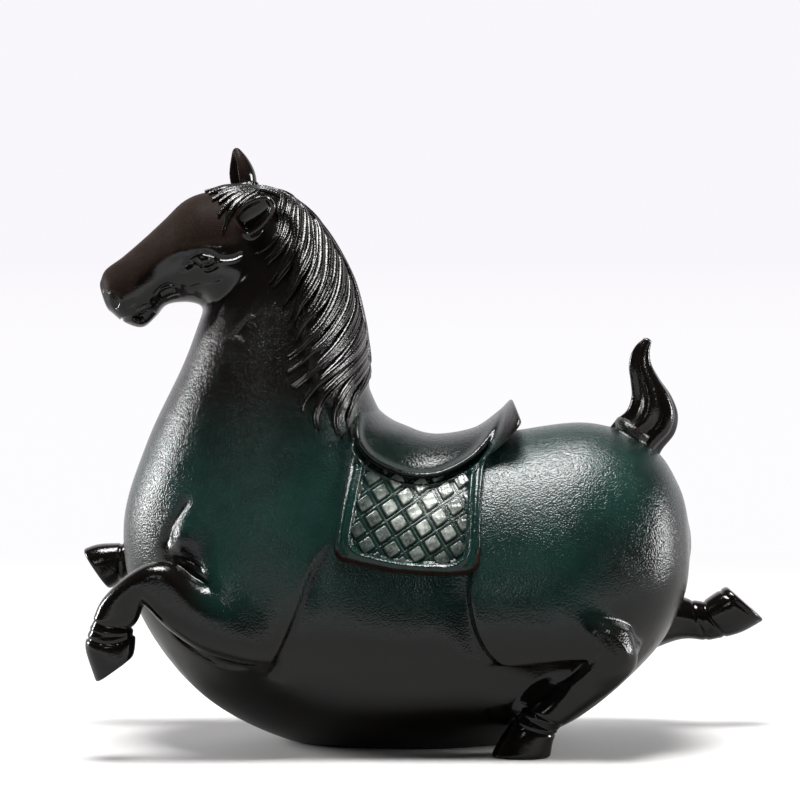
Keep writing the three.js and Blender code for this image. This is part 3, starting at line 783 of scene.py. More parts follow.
def carveBody(points, normals):
    push, rings = np.zeros(len(points)), np.zeros(len(points))
    x, y, z = points.T
    for crease in body["folds"]:
        push += fold(points, side=near, **crease)
    for place, reach, rise, lean in body["humps"]:
        push += hump(points, place, reach, rise, near, lean)
    shank, sole = stationOutline(nearHind["cannon"]), stationOutline(nearHind["hoof"])
    toShank, toSole = (outlineDistance(outline, x, z) for outline in (shank, sole))
    offShank = smoothStep(*body["hollowClear"], toShank)
    onLeg = np.where(x > 0, smoothStep(*body["ringEdge"], np.minimum(toShank, toSole)), 1.0)
    for place, reach, rise, lean in body["hollows"]:
        push += hump(points, place, reach, rise, near, lean) * offShank * smoothStep(*body["hollowTop"], z)
    for path, width, rise in body["ridges"]:
        push += stroke(points, path, width, rise, near)
    for path, width, rise in body["rings"]:
        rings += stroke(points, path, width, rise, near, 0) * smoothStep(*body["ringOut"], y) * onLeg
    for path, width, rise in body["farRings"]:
        rings += stroke(points, path, width, rise, far, 0) * smoothStep(*body["farRingOut"], y)
    place, reach, rise = body["breastHump"]
    for side, share in ((near, 1.0), (far, body["farShare"])):
        push += stroke(points, body["breastFold"], body["breastWidth"], -body["breastDepth"] * share, side)
        push += hump(points, place, reach, rise * share, side)
    facing = np.abs(normals[:, 1]) ** body["facing"]
    return points + normals * (push * facing + rings)[:, None]


# Strokes on the head: a path, a width, a height and the share of the path that fades at its ends

head = {
    "ease": 1.12,
    "depth": 0.6,
    "strokes": [
        ([(-98.9, 155.9), (-97.9, 157.3), (-96.3, 156.8), (-95.2, 155.3), (-94.9, 153.7), (-95.6, 152.2),
          (-96.7, 151.4)], 0.65, 0.6, 0.12),
        ([(-98.5, 155.3), (-97.6, 155.9), (-96.5, 155.0), (-96.2, 153.8), (-96.9, 152.6), (-97.8, 152.0)],
         0.55, -1.2, 0.1),
        ([(-94.5, 151.8), (-92.8, 152.6), (-90.7, 153.7), (-89.0, 154.5)], 1.0, -0.55, 0.25),
        ([(-92.6, 148.9), (-90.4, 149.8), (-88.3, 151.0), (-85.9, 152.1), (-84.0, 152.4), (-82.5, 151.4)],
         0.5, 0.5, 0.15),
        ([(-90.4, 148.6), (-87.9, 149.7), (-85.5, 150.5)], 0.35, 1.1, 0.2),
        ([(-91.0, 150.9), (-88.0, 152.4), (-85.0, 153.6)], 0.4, -0.35, 0.3),
        ([(-81.6, 156.3), (-79.9, 157.6), (-78.2, 158.3), (-76.3, 158.6)], 0.65, -1.7, 0.12),
        ([(-83.8, 156.2), (-82.2, 158.0), (-80.9, 159.3), (-79.1, 160.2), (-77.4, 160.4), (-75.7, 160.0),
          (-74.4, 159.4)], 0.38, -0.75, 0.15),
        ([(-82.9, 156.2), (-81.2, 158.3), (-79.1, 159.3), (-77.1, 159.5), (-75.3, 159.0)],
         0.45, 0.55, 0.15),
        ([(-80.2, 154.4), (-78.5, 155.2), (-77.1, 155.8), (-75.4, 156.3), (-74.0, 156.5)],
         0.5, -0.45, 0.25),
        ([(-84.6, 153.8), (-83.4, 154.7), (-82.3, 155.2)], 0.7, -0.5, 0.3),
        ([(-73.9, 160.0), (-72.0, 159.4), (-70.6, 159.2), (-68.5, 159.8), (-66.1, 160.6), (-63.7, 161.3),
          (-61.3, 161.9), (-59.9, 162.5), (-59.0, 163.2)], 0.5, -0.5, 0.12),
        ([(-66.8, 171.2), (-65.4, 171.3), (-63.7, 170.9), (-62.3, 170.2), (-59.6, 169.4), (-56.8, 169.4),
          (-54.4, 170.1), (-51.6, 171.8)], 0.6, -0.95, 0.12),
        ([(-60.8, 168.0), (-58.5, 168.3), (-56.5, 168.5), (-54.7, 168.8), (-53.2, 169.6), (-51.1, 171.1)],
         0.45, 0.35, 0.2),
        ([(-67.4, 170.1), (-66.1, 170.3), (-64.7, 170.3), (-63.3, 170.0), (-61.6, 169.2)],
         0.42, 0.6, 0.12),
        ([(-71.5, 168.7), (-69.9, 169.8), (-68.6, 170.5), (-67.0, 171.3)], 0.4, -0.6, 0.2),
        ([(-71.0, 168.0), (-69.8, 169.0), (-68.6, 169.8), (-67.5, 170.3)], 0.4, 0.4, 0.2),
        ([(-69.6, 168.7), (-68.6, 168.0), (-67.5, 167.2), (-66.0, 166.4)], 0.36, -0.95, 0.12),
        ([(-67.4, 169.8), (-66.6, 168.5), (-65.8, 167.0)], 0.4, 0.45, 0.15),
        ([(-66.0, 167.6), (-64.4, 167.25), (-63.0, 167.8), (-62.1, 168.5)], 0.5, -0.9, 0.15),
        ([(-66.0, 166.3), (-65.1, 166.0), (-64.0, 166.15), (-62.7, 166.8), (-61.2, 168.0)],
         0.4, 0.55, 0.12),
        ([(-66.4, 165.6), (-64.7, 165.1), (-63.4, 165.4), (-62.0, 166.2), (-60.5, 167.3)],
         0.4, -0.55, 0.15),
        ([(-72.8, 173.0), (-72.2, 171.2), (-71.9, 169.1)], 0.9, 0.4, 0.3),
        ([(-74.5, 165.6), (-73.0, 165.0), (-71.6, 165.6)], 0.4, -0.3, 0.3),
        ([(-80, 168.4), (-74, 171.7), (-68, 173.2), (-61.5, 173.5), (-55, 174.5)], 1.6, 0.5, 0.2),
    ],
    "humps": [
        ((-64.6, 168.7), (2.3, 1.5), 0.75, 0.0),
        ((-71.2, 167.2), (1.7, 1.1), -1.0, 0.5),
        ((-78.5, 166.0), (7.0, 3.0), -0.4, 0.55),
        ((-97.4, 154.0), (1.1, 1.7), -0.7, 0.1),
    ],
    "mouth": [(-92.0, 148.5), (-90.0, 149.3), (-88.3, 150.2), (-85.5, 151.1), (-83.8, 150.9),
              (-83.3, 150.0), (-84.5, 148.3), (-86.2, 147.1), (-88.0, 146.6), (-89.7, 146.9),
              (-91.1, 147.7)],
    "mouthDepth": 2.6,
    "mouthEdge": (0.35, -0.9),
    "mouthLine": [(-96, 147.6), (-94.5, 147.8), (-93.2, 148.0), (-91.8, 148.4)],
    "lineWidth": 0.5,
    "lineDepth": 0.9,
    "lineEnds": 0.05,
    "facing": (0.12, 0.5),
}


def carveHead(points, normals):
    push = np.zeros(len(points))
    for side in (near, far):
        for path, width, rise, ends in head["strokes"]:
            push += stroke(points, path, width * head["ease"], rise * head["depth"], side, ends)
        for place, reach, rise, lean in head["humps"]:
            push += hump(points, place, reach, rise, side, lean)
    toMouth = outlineDistance(head["mouth"], points[:, 0], points[:, 2])
    push -= head["mouthDepth"] * smoothStep(*head["mouthEdge"], toMouth)
    facing = smoothStep(*head["facing"], np.abs(normals[:, 1]))
    lips = stroke(points, head["mouthLine"], head["lineWidth"], -head["lineDepth"], 0, head["lineEnds"])
    return points + normals * (push * facing + lips)[:, None]


# Where the glaze is teal, where it is dry clay and where it is grainy; the teal fades at the chest front
# and rump end are painted shade. Each pair is a fade along one axis.

zone = {
    "tealTop": (130, 86),
    "rumpLift": 20,
    "rumpFrom": (-10, 30),
    "tealLow": (38, 60),
    "plain": 0.74,
    "shoulder": ((-56, 68), (16, 22)),
    "thigh": (0.8, (52, 82), (96, 62)),
    # breast and rim are painted shade: teal is taken out where the chest front and the rump end turn away
    # from view and look darker
    "breast": (0.7, (-64, -84), (98, 76)),
    "rim": (0.7, (76, 98)),
    "tailRoot": (0.9, (85, 111), (13, 8)),
    "foreleg": ((-56, -72), (-28, -38), (80, 70)),
    "farFore": ((-62, -76), (24, 32)),
    "farHind": ((88, 100), (12, 24)),
    "farTop": (84, 74),
    "hindHoof": ((14, 26), (-22, -32), (30, 20)),
    "headFrom": (146, 158),
    "headLean": 0.2,
    "headMiddle": -60,
    "brow": [(-102, 157.7), (-97.7, 156.0), (-94.3, 155.8), (-90.5, 158.1), (-89.1, 161.9),
             (-84.6, 165.8), (-79.4, 169.3), (-74.2, 172.4), (-67.3, 172.7), (-62.1, 174.1),
             (-55.2, 174.5), (-50, 177.1)],
    "browEdge": 1.6,
    "browBack": (-50, -56),
    "headGrain": 0.1,
    "limbGrain": 0.4,
    "bellyGrain": 0.3,
    "grainFrom": (44, 72),
    "hock": ((73, 41), (6, 5)),
    "hockOut": (-30, -40),
}


def patch(x, z, middle, reach):
    return np.exp(-((x - middle[0]) / reach[0]) ** 2 - ((z - middle[1]) / reach[1]) ** 2)


def zones(points):
    x, y, z = points.T
    teal = smoothStep(*zone["tealTop"], z - zone["rumpLift"] * smoothStep(*zone["rumpFrom"], x))
    teal *= smoothStep(*zone["tealLow"], z)
    teal *= zone["plain"] + (1 - zone["plain"]) * patch(x, z, *zone["shoulder"])
    # Painted shade: the breast and rim fades darken the glaze where the chest front and rump end turn from
    # view
    for key in ("thigh", "breast"):
        share, along, up = zone[key]
        teal *= 1 - share * smoothStep(*along, x) * smoothStep(*up, z)
    share, along = zone["rim"]
    teal *= 1 - share * smoothStep(*along, x)
    share, middle, reach = zone["tailRoot"]
    teal *= 1 - share * patch(x, z, middle, reach)
    along, out, up = zone["foreleg"]
    foreleg = smoothStep(*along, x) * smoothStep(*out, y) * smoothStep(*up, z)
    farLeg = sum(smoothStep(*zone[key][0], x) * smoothStep(*zone[key][1], y)
                 for key in ("farFore", "farHind"))
    limb = np.clip(foreleg + np.clip(farLeg, 0, 1) * smoothStep(*zone["farTop"], z), 0, 1)
    along, out, up = zone["hindHoof"]
    hind = smoothStep(*up, z) * smoothStep(*out, y) * smoothStep(*along, x)
    top = smoothStep(*zone["headFrom"], z - zone["headLean"] * (x - zone["headMiddle"]))
    brow = np.interp(x, *zip(*zone["brow"]))
    matte = smoothStep(-zone["browEdge"], zone["browEdge"], z - brow)
    matte = matte * smoothStep(*zone["browBack"], x) * top
    grain = 1 - (1 - zone["headGrain"]) * top
    grain *= (1 - (1 - zone["limbGrain"]) * limb) * (1 - (1 - zone["limbGrain"]) * hind)
    grain *= zone["bellyGrain"] + (1 - zone["bellyGrain"]) * smoothStep(*zone["grainFrom"], z)
    hock = patch(x, z, *zone["hock"]) * smoothStep(*zone["hockOut"], y)
    grain += (1 - grain) * hock
    return {"teal": teal * (1 - limb), "matte": matte, "grain": grain}


def keepWithin(points, ease=1.0, clearance=0.03):
    points = points.copy()
    for side in (near, far):
        limit = abs(cadBox[0 if side == near else 1][1]) / metre - clearance
        past = points[:, 1] * side - (limit - ease)
        over = past > 0
        points[over, 1] = side * (limit - ease * np.exp(-past[over] / ease))
    return points


def makeMesh(name, points, quads, caps=(), paint=None):
    points = keepWithin(points)
    faces = [*quads.tolist(), *np.asarray(caps).tolist()]
    a, b, c, d = (points[quads[:, i]] for i in range(4))
    volume = (a * np.cross(b, c)).sum() + (a * np.cross(c, d)).sum()
    if len(caps):
        a, b, c = (points[caps[:, i]] for i in range(3))
        volume += (a * np.cross(b, c)).sum()
    if volume < 0:
        faces = [f[::-1] for f in faces]
    mesh = bpy.data.meshes.new(name)
    mesh.from_pydata((points * metre).tolist(), [], faces)
    mesh.shade_smooth()
    mesh.update()
    paint = dict(paint or zones(points))
    smoothed = points
    for _ in range(cast["poolRounds"]):
        smoothed = easedPoints(smoothed, quads)
    normals = skinNormals(points, quads) * (1 if volume > 0 else -1)
    # Pooled glaze and painted shade: points in hollows and creases get a high value here, and the glaze
    # darkens them
    paint["pool"] = np.clip(((smoothed - points) * normals).sum(1) / cast["poolDepth"], -1, 1)
    return addPiece(name, mesh, paint)


def addPiece(name, mesh, paint):
    for key, values in paint.items():
        layer = mesh.attributes.new(key, "FLOAT", "POINT")
        layer.data.foreach_set("value", np.broadcast_to(values, len(mesh.vertices)).astype(np.float32))
    piece = bpy.data.objects.new(name, mesh)
    bpy.context.collection.objects.link(piece)
    pieces[name] = piece
    return piece


moulds = {}
pieces = {}


def makeCastPiece(name):
    if name == "body":
        mould = Cast(cast["bodyLow"], cast["bodyHigh"], cast["bodyGrid"], cast["reach"])
        depth = None
        for other in regions:
            here = depthIn(other, mould.x, mould.y, mould.z)
            depth = here if depth is None else np.maximum(depth, here)
        inside = -depth
    else:
        region = regions[name]
        mould = Cast(region["low"], region["high"], region["grid"], cast["reach"])
        inside = depthIn(name, mould.x, mould.y, mould.z)
        if "without" in region:
            inside = np.minimum(inside, -depthIn(region["without"], mould.x, mould.y, mould.z))
    pourHorse(mould)
    whole = mould.field
    below = np.clip((-inside - cast["seamLap"]) / cast["seamRun"], 0, 1) * cast["seamDip"]
    mould.field = np.maximum(mould.field + below, -inside - cast["seamWall"]).astype(np.float32)
    points, quads = mould.skin()
    mould.field = whole
    moulds[name] = mould
    points = carveBody(points, skinNormals(points, quads))
    if name in ("head", "face"):
        points = carveHead(points, skinNormals(points, quads))
    points[:, 2] = np.maximum(points[:, 2], 0)
    print(f"stage: {name} cast, {len(quads)} quads")
    return makeMesh(name, points, quads)


def settle(points, lift, mould, rounds=7, step=0.9):
    for _ in range(rounds):
        points = points - mould.slope(points) * (step * (mould.at(points) - lift))[:, None]
    return points


def relaxed(path, rounds=2):
    for _ in range(rounds):
        path[1:-1] = (path[:-2] + 2 * path[1:-1] + path[2:]) / 4
    return path


# Strands: paths with a thickness at each point are skinned by one node tree

def strandTree():
    tree = bpy.data.node_groups.new("strand skin", "GeometryNodeTree")
    for label, kind in (("Paths", "NodeSocketGeometry"), ("Sides", "NodeSocketInt"),
                        ("Finish", "NodeSocketMaterial")):
        tree.interface.new_socket(label, in_out="INPUT", socket_type=kind)
    tree.interface.new_socket("Skin", in_out="OUTPUT", socket_type="NodeSocketGeometry")
    add, join = tree.nodes.new, tree.links.new
    given, made = add("NodeGroupInput"), add("NodeGroupOutput")
    ring, radius = add("GeometryNodeCurvePrimitiveCircle"), add("GeometryNodeInputRadius")
    skin, smooth = add("GeometryNodeCurveToMesh"), add("GeometryNodeSetShadeSmooth")
    real, finish = add("GeometryNodeRealizeInstances"), add("GeometryNodeSetMaterial")
    skin.inputs["Fill Caps"].default_value = True
    join(given.outputs["Sides"], ring.inputs["Resolution"])
    join(given.outputs["Paths"], skin.inputs["Curve"])
    join(ring.outputs["Curve"], skin.inputs["Profile Curve"])
    join(radius.outputs["Radius"], skin.inputs["Scale"])
    join(skin.outputs["Mesh"], smooth.inputs["Geometry"])
    join(smooth.outputs["Geometry"], real.inputs["Geometry"])
    join(real.outputs["Geometry"], finish.inputs["Geometry"])
    join(given.outputs["Finish"], finish.inputs["Material"])
    join(finish.outputs["Geometry"], made.inputs["Skin"])
    return tree


def makeStrands(name, strands, tree, material, sides, paint):
    curve = bpy.data.curves.new(name + "_paths", "CURVE")
    curve.dimensions = "3D"
    for path, radius in strands:
        spline = curve.splines.new("POLY")
        spline.points.add(len(path) - 1)
        spline.points.foreach_set("co", np.column_stack([path * metre, np.ones(len(path))]).ravel())
        spline.points.foreach_set("radius", np.asarray(radius) * metre)
    guide = bpy.data.objects.new(name + "_paths", curve)
    bpy.context.collection.objects.link(guide)
    modifier = guide.modifiers.new("skin", "NODES")
    modifier.node_group = tree
    sockets = {item.name: item.identifier for item in tree.interface.items_tree if item.in_out == "INPUT"}
    modifier[sockets["Sides"]] = sides
    modifier[sockets["Finish"]] = material
    scene = bpy.context.evaluated_depsgraph_get()
    mesh = bpy.data.meshes.new_from_object(guide.evaluated_get(scene), depsgraph=scene)
    mesh.name = name
    guide.modifiers.clear()
    bpy.data.objects.remove(guide)
    bpy.data.curves.remove(curve)
    return addPiece(name, mesh, paint)


mane = {
    "locks": 13,
    "farLocks": 10,
    "strandsPerLock": 4,
    "pad": 1.7,
    "padSpan": (0.45, 1.0),
    "padEdge": 3.0,
    "padBlend": 2.0,
    "outline": [(-36.5, 187), (-33.2, 176), (-32.6, 164.6), (-33.0, 155), (-31.5, 146), (-30.0, 139.5),
                (-28.5, 133), (-26.0, 127), (-24.0, 122.5), (-21.0, 119.5), (-18.6, 117.6),
                (-15.6, 117.5), (-14, 119.5), (-12.6, 123), (-6, 129), (-6, 160), (-20, 186), (-34, 200)],
    "wave": 0.5,
    "wildness": 0.5,
    "curl": 2.2,
    "sides": 10,
    "points": 44,
    "seeds": {near: 7, far: 11},
    "rootFade": (-0.12, 0.1),
    "tipFade": (0.66, 1),
    "gather": (0.55, 0.85),
    "gatherFrom": (0.45, 1),
    "swayShare": 0.3,
    "hookFrom": (0.72, 1),
    "hookSpread": 0.4,
    "hookAlong": (-0.35, 0.6),
    "hookUp": (-0.2, 0.5),
    "waveLengths": (5, 9),
    "waveStart": (0, 6),
    "waveFrom": (0.05, 0.35),
    "waveUp": 0.4,
    "strandSizes": (0.8, 1.35),
    "radii": (0.5, 1.45),
    "crown": 0.75,
    "crownFall": 2.4,
    "crownFrom": (0, 0.25),
    "grain": 0.55,
    "fullness": 0.74,
    "thinnest": 0.22,
    "rise": 0.35,
    "guides": [
        [(-47.8, 194.6), (-43.8, 192.2), (-41.0, 187.6), (-39.8, 182.4), (-41.0, 177.2), (-44.0, 173.2),
         (-47.6, 170.8)],
        [(-45.6, 193.9), (-41.2, 190.8), (-38.1, 185.4), (-36.7, 179.9), (-37.8, 174.7), (-40.5, 170.2),
         (-43.0, 167.2)],
        [(-43.6, 193.9), (-38.4, 189.5), (-34.7, 182.6), (-33.3, 175.1), (-34.7, 168.2), (-38.2, 162.0),
         (-41.6, 156.5)],
        [(-41.2, 192.9), (-35.4, 187.8), (-30.9, 179.9), (-29.2, 171.6), (-30.2, 163.7), (-33.3, 156.1),
         (-36.8, 148.2)],
        [(-38.4, 191.9), (-31.9, 185.7), (-26.8, 176.4), (-25.1, 168.2), (-25.8, 160.3), (-29.2, 152.4),
         (-33.4, 144.8), (-35.4, 140.3)],
        [(-35.4, 190.5), (-28.5, 183.0), (-23.0, 172.7), (-20.9, 164.7), (-21.3, 156.1), (-25.6, 146.5),
         (-32.0, 139.2), (-37.0, 135.6)],
        [(-32.6, 188.1), (-25.4, 179.5), (-20.3, 169.6), (-17.9, 160.3), (-17.9, 151.7), (-22.5, 142.7),
         (-29.5, 134.8), (-36.2, 129.8)],
        [(-28.5, 185.0), (-22.0, 175.1), (-17.5, 165.4), (-15.1, 155.8), (-15.1, 146.5), (-19.0, 137.9),
         (-26.0, 130.4), (-33.8, 123.6)],
        [(-23.3, 177.1), (-18.2, 167.8), (-14.4, 157.2), (-12.7, 147.5), (-13.1, 139.3), (-16.8, 133.4),
         (-22.0, 128.6), (-26.8, 123.8), (-29.6, 119.0), (-30.6, 115.4), (-29.2, 113.6)],
        [(-18.5, 167.8), (-14.4, 158.6), (-11.7, 148.9), (-10.6, 139.6), (-11.7, 133.8), (-15.5, 128.2),
         (-19.3, 123.4), (-21.4, 118.4), (-21.4, 113.4), (-19.4, 109.2)],
        [(-14.8, 159.2), (-11.7, 148.9), (-10.0, 138.9), (-10.0, 131.7), (-12.0, 125.8), (-14.8, 120.7),
         (-15.5, 114.4), (-14.8, 107.5)],
    ],
}


def maneStrands(side, locks):
    count = mane["points"]
    chance = np.random.default_rng(mane["seeds"][side])
    places, courses = [], []
    for guide in mane["guides"]:
        path = evenPath(guide, count)
        courses.append(path.ravel())
        places.append(np.stack(flankPlace(path[:, 0], path[:, 1]), 1).ravel())
    s = np.linspace(0, 1, count)
    gap = 1 / (locks - 1)
    per = mane["strandsPerLock"]
    thin = smoothStep(*mane["rootFade"], s) * (1 - (1 - mane["thinnest"]) * smoothStep(*mane["tipFade"], s))
    strands = []

    def onNeck(place):
        course = smoothRows(places, np.clip(place, 0, 1))[0].reshape(count, 2)
        laid = flankPoints(course[:, 0], course[:, 1], side)
        laid[:, [0, 2]] = smoothRows(courses, np.clip(place, 0, 1))[0].reshape(count, 2)
        return laid

    for lock in range(locks):
        middle = onNeck(lock * gap)
        width = onNeck(lock * gap + gap / 2) - onNeck(lock * gap - gap / 2)
        spacing = np.linalg.norm(width, axis=1) / per
        sway = mane["wildness"] * gap * chance.uniform(-0.5, 0.5)
        narrow = 1 - chance.uniform(*mane["gather"]) * smoothStep(*mane["gatherFrom"], s)
        for k in range(per):
            share = (k - (per - 1) / 2) / per
            beside = onNeck(lock * gap + share * gap + sway * mane["swayShare"])
            path = middle + (beside - middle) * narrow[:, None]
            hook = mane["curl"] * (mane["hookSpread"] + abs(share)) * smoothStep(*mane["hookFrom"], s) ** 2
            path[:, 0] += hook * chance.uniform(*mane["hookAlong"])
            path[:, 2] += hook * chance.uniform(*mane["hookUp"])
            wave = np.sin(s * chance.uniform(*mane["waveLengths"]) + chance.uniform(*mane["waveStart"]))
            wave = mane["wave"] * wave * smoothStep(*mane["waveFrom"], s)
            path[:, 0] += wave
            path[:, 2] += mane["waveUp"] * wave
            size = mane["fullness"] * spacing * chance.uniform(*mane["strandSizes"])
            radius = np.clip(size, *mane["radii"]) * thin
            crown = mane["crown"] - mane["crownFall"] * share * share
            crown = crown * smoothStep(*mane["crownFrom"], s) * thin
            path = relaxed(settle(path, mane["rise"] * radius + crown, moulds["body"]))
            strands.append((path, radius))
    return strands


crestHair = {
    "strands": 6,
    "points": 60,
    "front": (-50.5, 195.6),
    "back": (-10.4, 127.5),
    "halfWidth": 5.2,
    "narrowing": 1.5,
    "sway": 0.35,
    "swayRate": 14,
    "swayShift": 5,
    "sag": 0.036,
    "lift": 0.35,
    "radius": 1.15,
    "rootFade": (-0.05, 0.06),
    "tipFade": (0.7, 1),
    "tipThinner": 0.75,
    "sideThinner": 0.2,
}


def crestStrands():
    strands = []
    s = np.linspace(0, 1, crestHair["points"])
    line = evenPath([crestHair["front"], *crest["line"][1:-1], crestHair["back"]], crestHair["points"])
    atTip = crestHair["tipThinner"] * smoothStep(*crestHair["tipFade"], s)
    thin = smoothStep(*crestHair["rootFade"], s) * (1 - atTip)
    for place in np.linspace(-1, 1, crestHair["strands"]):
        sway = crestHair["sway"] * np.sin(s * crestHair["swayRate"] + place * crestHair["swayShift"])
        y = place * (crestHair["halfWidth"] - crestHair["narrowing"] * s) + sway
        laid = np.column_stack([line[:, 0], y, line[:, 1] - crestHair["sag"] * y * y])
        path = relaxed(settle(laid, crestHair["lift"], moulds["body"]))
        strands.append((path, crestHair["radius"] * thin * (1 - crestHair["sideThinner"] * abs(place))))
    return strands


forelock = {
    "locks": 17,
    "strandsPerLock": 2,
    "points": 28,
    "seed": 5,
    "radius": 1.35,
    "uneven": 0.16,
    "longer": 0.6,
    "turn": 0.8,
    "strandGap": 0.045,
    "gather": 0.6,
    "gatherFrom": (0.5, 1),
    "rootFade": (-0.15, 0.2),
    "tipFade": (0.6, 1),
    "tipThinner": 0.6,
    "root": (-47.5, 5.0, 196.0),
    "length": 18.5,
    "shorterAside": 8.0,
    "wave": 1.1,
    "waveRate": 5,
    "waveShift": 3,
    "spread": 13.5,
    "spreadPower": 0.9,
    "fall": 13.5,
    "fallPower": 1.5,
    "drop": 2.5,
    "sunk": 0.5,
    "sunkAside": 0.15,
}


def forelockStrands():
    strands = []
    chance = np.random.default_rng(forelock["seed"])
    s = np.linspace(0, 1, forelock["points"])
    atTip = forelock["tipThinner"] * smoothStep(*forelock["tipFade"], s)
    thin = smoothStep(*forelock["rootFade"], s) * (1 - atTip)
    rootX, rootY, rootZ = forelock["root"]
    for lock in np.linspace(-1, 1, forelock["locks"]):
        reach = s * (1 + forelock["uneven"] * chance.uniform(-1, forelock["longer"]))
        turn = chance.uniform(-forelock["turn"], forelock["turn"])
        length = forelock["length"] - forelock["shorterAside"] * lock * lock
        wave = forelock["wave"] * np.sin(reach * forelock["waveRate"] + lock * forelock["waveShift"] + turn)
        fall = forelock["fall"] * lock * lock * reach ** forelock["fallPower"]
        gather = 1 - forelock["gather"] * smoothStep(*forelock["gatherFrom"], s)
        for k in np.linspace(-1, 1, forelock["strandsPerLock"]):
            across = lock + forelock["strandGap"] * k * gather
            x = rootX - length * reach - wave
            y = across * (rootY + forelock["spread"] * reach ** forelock["spreadPower"])
            z = rootZ - fall - forelock["drop"] * reach
            lift = forelock["radius"] * (forelock["sunk"] - forelock["sunkAside"] * k * k)
            path = relaxed(settle(np.column_stack([x, y, z]), lift, moulds["head"]))
            strands.append((path, forelock["radius"] * thin))
    return strands


tail = {
    "strands": 6,
    "flute": 0.1,
    "twist": 3.4,
    "stations": [
        [73.5, 106, 90, 95, 0, 9],
        [78, 112.1, 92.6, 101.9, 0, 8.4],
        [81.6, 115.6, 97.4, 108, 0, 7.6],
        [83.1, 120.6, 98.7, 114.4, 0, 6.9],
        [82.6, 125.8, 96.6, 120.9, 0, 5.9],
        [81.8, 130.9, 92.6, 126.9, 0, 4.7],
        [82.3, 135.2, 89.9, 131.9, 0, 3.5],
        [84.1, 138.6, 89.2, 136.1, 0, 2.4],
        [86.6, 140.8, 89.6, 139.2, 0, 1.4],
    ],
    "around": 160,
    "along": 160,
    "ends": (1, 1.2),
    "fluteTaper": 0.7,
    "grooveDepth": 0.35,
    "grain": 0.35,
    "collar": [[76.6, 111.8, 89.2, 103.4, 0, 9.6], [78.4, 114.0, 91.8, 104.6, 0, 9.4]],
    "collarAlong": 12,
    "collarEnds": (1.2, 1.2),
    "collarBlend": 2.0,
}


def makeTail():
    def flute(angle, t):
        wave = np.cos(tail["strands"] * angle + tail["twist"] * t)
        groove = tail["grooveDepth"] * (1 - wave) ** 2 / 4
        return 1 + tail["flute"] * (1 - t * tail["fluteTaper"]) * (wave - groove)

    skin = loftSkin(tail["stations"], tail["around"], tail["along"], bulges=tail["ends"], flute=flute)
    return makeMesh("tail", *skin, {"teal": 0.0, "matte": 0.0, "grain": tail["grain"]})


# Outlines are x and z on the side view.
# A bead is its middle's distance from an outline, its width and its height.

saddle = {
    "low": (-29, -57, 55),
    "high": (47, 57, 130),
    "grid": 0.5,
    "reach": 6.0,
    "cloth": 1.8,
    "hem": (-0.7, 0.7, 0.45),
    "lowerEdge": 1.0,
    "lowerFrom": (82, 66),
    "bevel": 0.8,
    "bevelAcross": (-2.3, 0.0),
    "bevelFrom": (74, 70),
    "border": (0.85, 0.72, 1.1),
    "borderGroove": (3.1, 0.4, -0.35),
    "panel": 0.9,
    "panelEdge": 0.3,
    "groove": 0.5,
    "grooveAcross": (2.4, 1.7),
    "rim": (2.4, 0.58, 1.5),
    "rimInside": (0.0, -0.8),
    "seat": 3.4,
    "lip": (-1.3, 1.1, 1.8),
    "sunk": 0.6,
    "cantleRise": 10.4,
    "farThinner": 0.84,
    "frontFade": (119, 108),
    "frontReach": (8, 0),
    "clothOutline": [(-14.6, 126), (-14.6, 112), (-14.8, 104.8), (-16.8, 95.4), (-18.5, 86.9),
                     (-19.8, 78.5), (-20.4, 73.4), (-20.2, 70.0), (-19.0, 68.2), (-16.4, 67.4),
                     (-11.1, 66.0), (-1.6, 63.9), (8.5, 62.9), (18.6, 62.6), (24.3, 63.2), (27.4, 64.4),
                     (28.7, 66.6), (29.0, 70.0), (28.9, 78.5), (29.4, 88.6), (30.7, 98.8), (32.2, 104.5),
                     (40, 122)],
    "borderOutline": [(-7.4, 118), (-10.4, 100.1), (-12.1, 92.0), (-13.8, 83.6), (-15.0, 76.6),
                      (-14.9, 74.0), (-13.8, 72.0), (-11.7, 70.8), (-5.0, 69.0), (1.8, 67.7),
                      (10.2, 66.9), (17.4, 66.9), (20.8, 67.8), (22.8, 69.4), (23.6, 71.7), (24.0, 78.5),
                      (24.7, 88.6), (25.7, 98.8), (28.5, 118)],
    "seatEdge": [(-12.6, 118.8), (-13.6, 109), (-8.5, 101.2), (1.8, 96), (9, 94.9), (17, 96),
                 (27.3, 101.4), (34.6, 109.5), (38.6, 117.4)],
    "seatTop": [(38.6, 135), (2, 135), (-6, 127.5)],
    "seatPoints": 40,
    "clothBlend": 0.6,
    "seatBlend": 1.0,
    "cantleBlend": 1.4,
    "cantleEdge": 0.2,
    "profileBlend": 2.4,
    "rearLap": 4.0,
    "inner": 1.5,
    "softness": 0.28,
    "grain": 0.7,
    "clothTeal": 0.8,
    "seatTeal": 0.22,
    "seatEdgeFade": (0.6, -0.2),
    "tealFrom": (112, 100),
    "underAcross": (-2.1, -1.5),
    "underFrom": (73, 70),
    "cantleFoot": 2.6,
    "cantleStart": 20.0,
    "cantleLength": 20.0,
    "cantleSweep": 2.2,
    "cantleCrown": 2.5,
    "cantleMost": 1.05,
    "cantleProfile": [(29.4, 100.6), (32.6, 104.6), (35.6, 110.0), (37.4, 115.2), (38.6, 119.2),
                      (39.7, 120.7), (41.1, 119.9), (42.2, 117.0), (43.6, 113.2), (41.6, 110.4),
                      (38.8, 107.4), (35.2, 104.2), (31.4, 101.2)],
}


def bead(away, middle, width, height):
    return height * np.exp(-((away - middle) / width) ** 2)


def seatOutline():
    edge = evenPath(saddle["seatEdge"], saddle["seatPoints"])
    return [*[tuple(point) for point in edge], *saddle["seatTop"]]


def within(field, edge, blend):
    return -smoothMin(-field, -np.broadcast_to(edge, field.shape), blend)


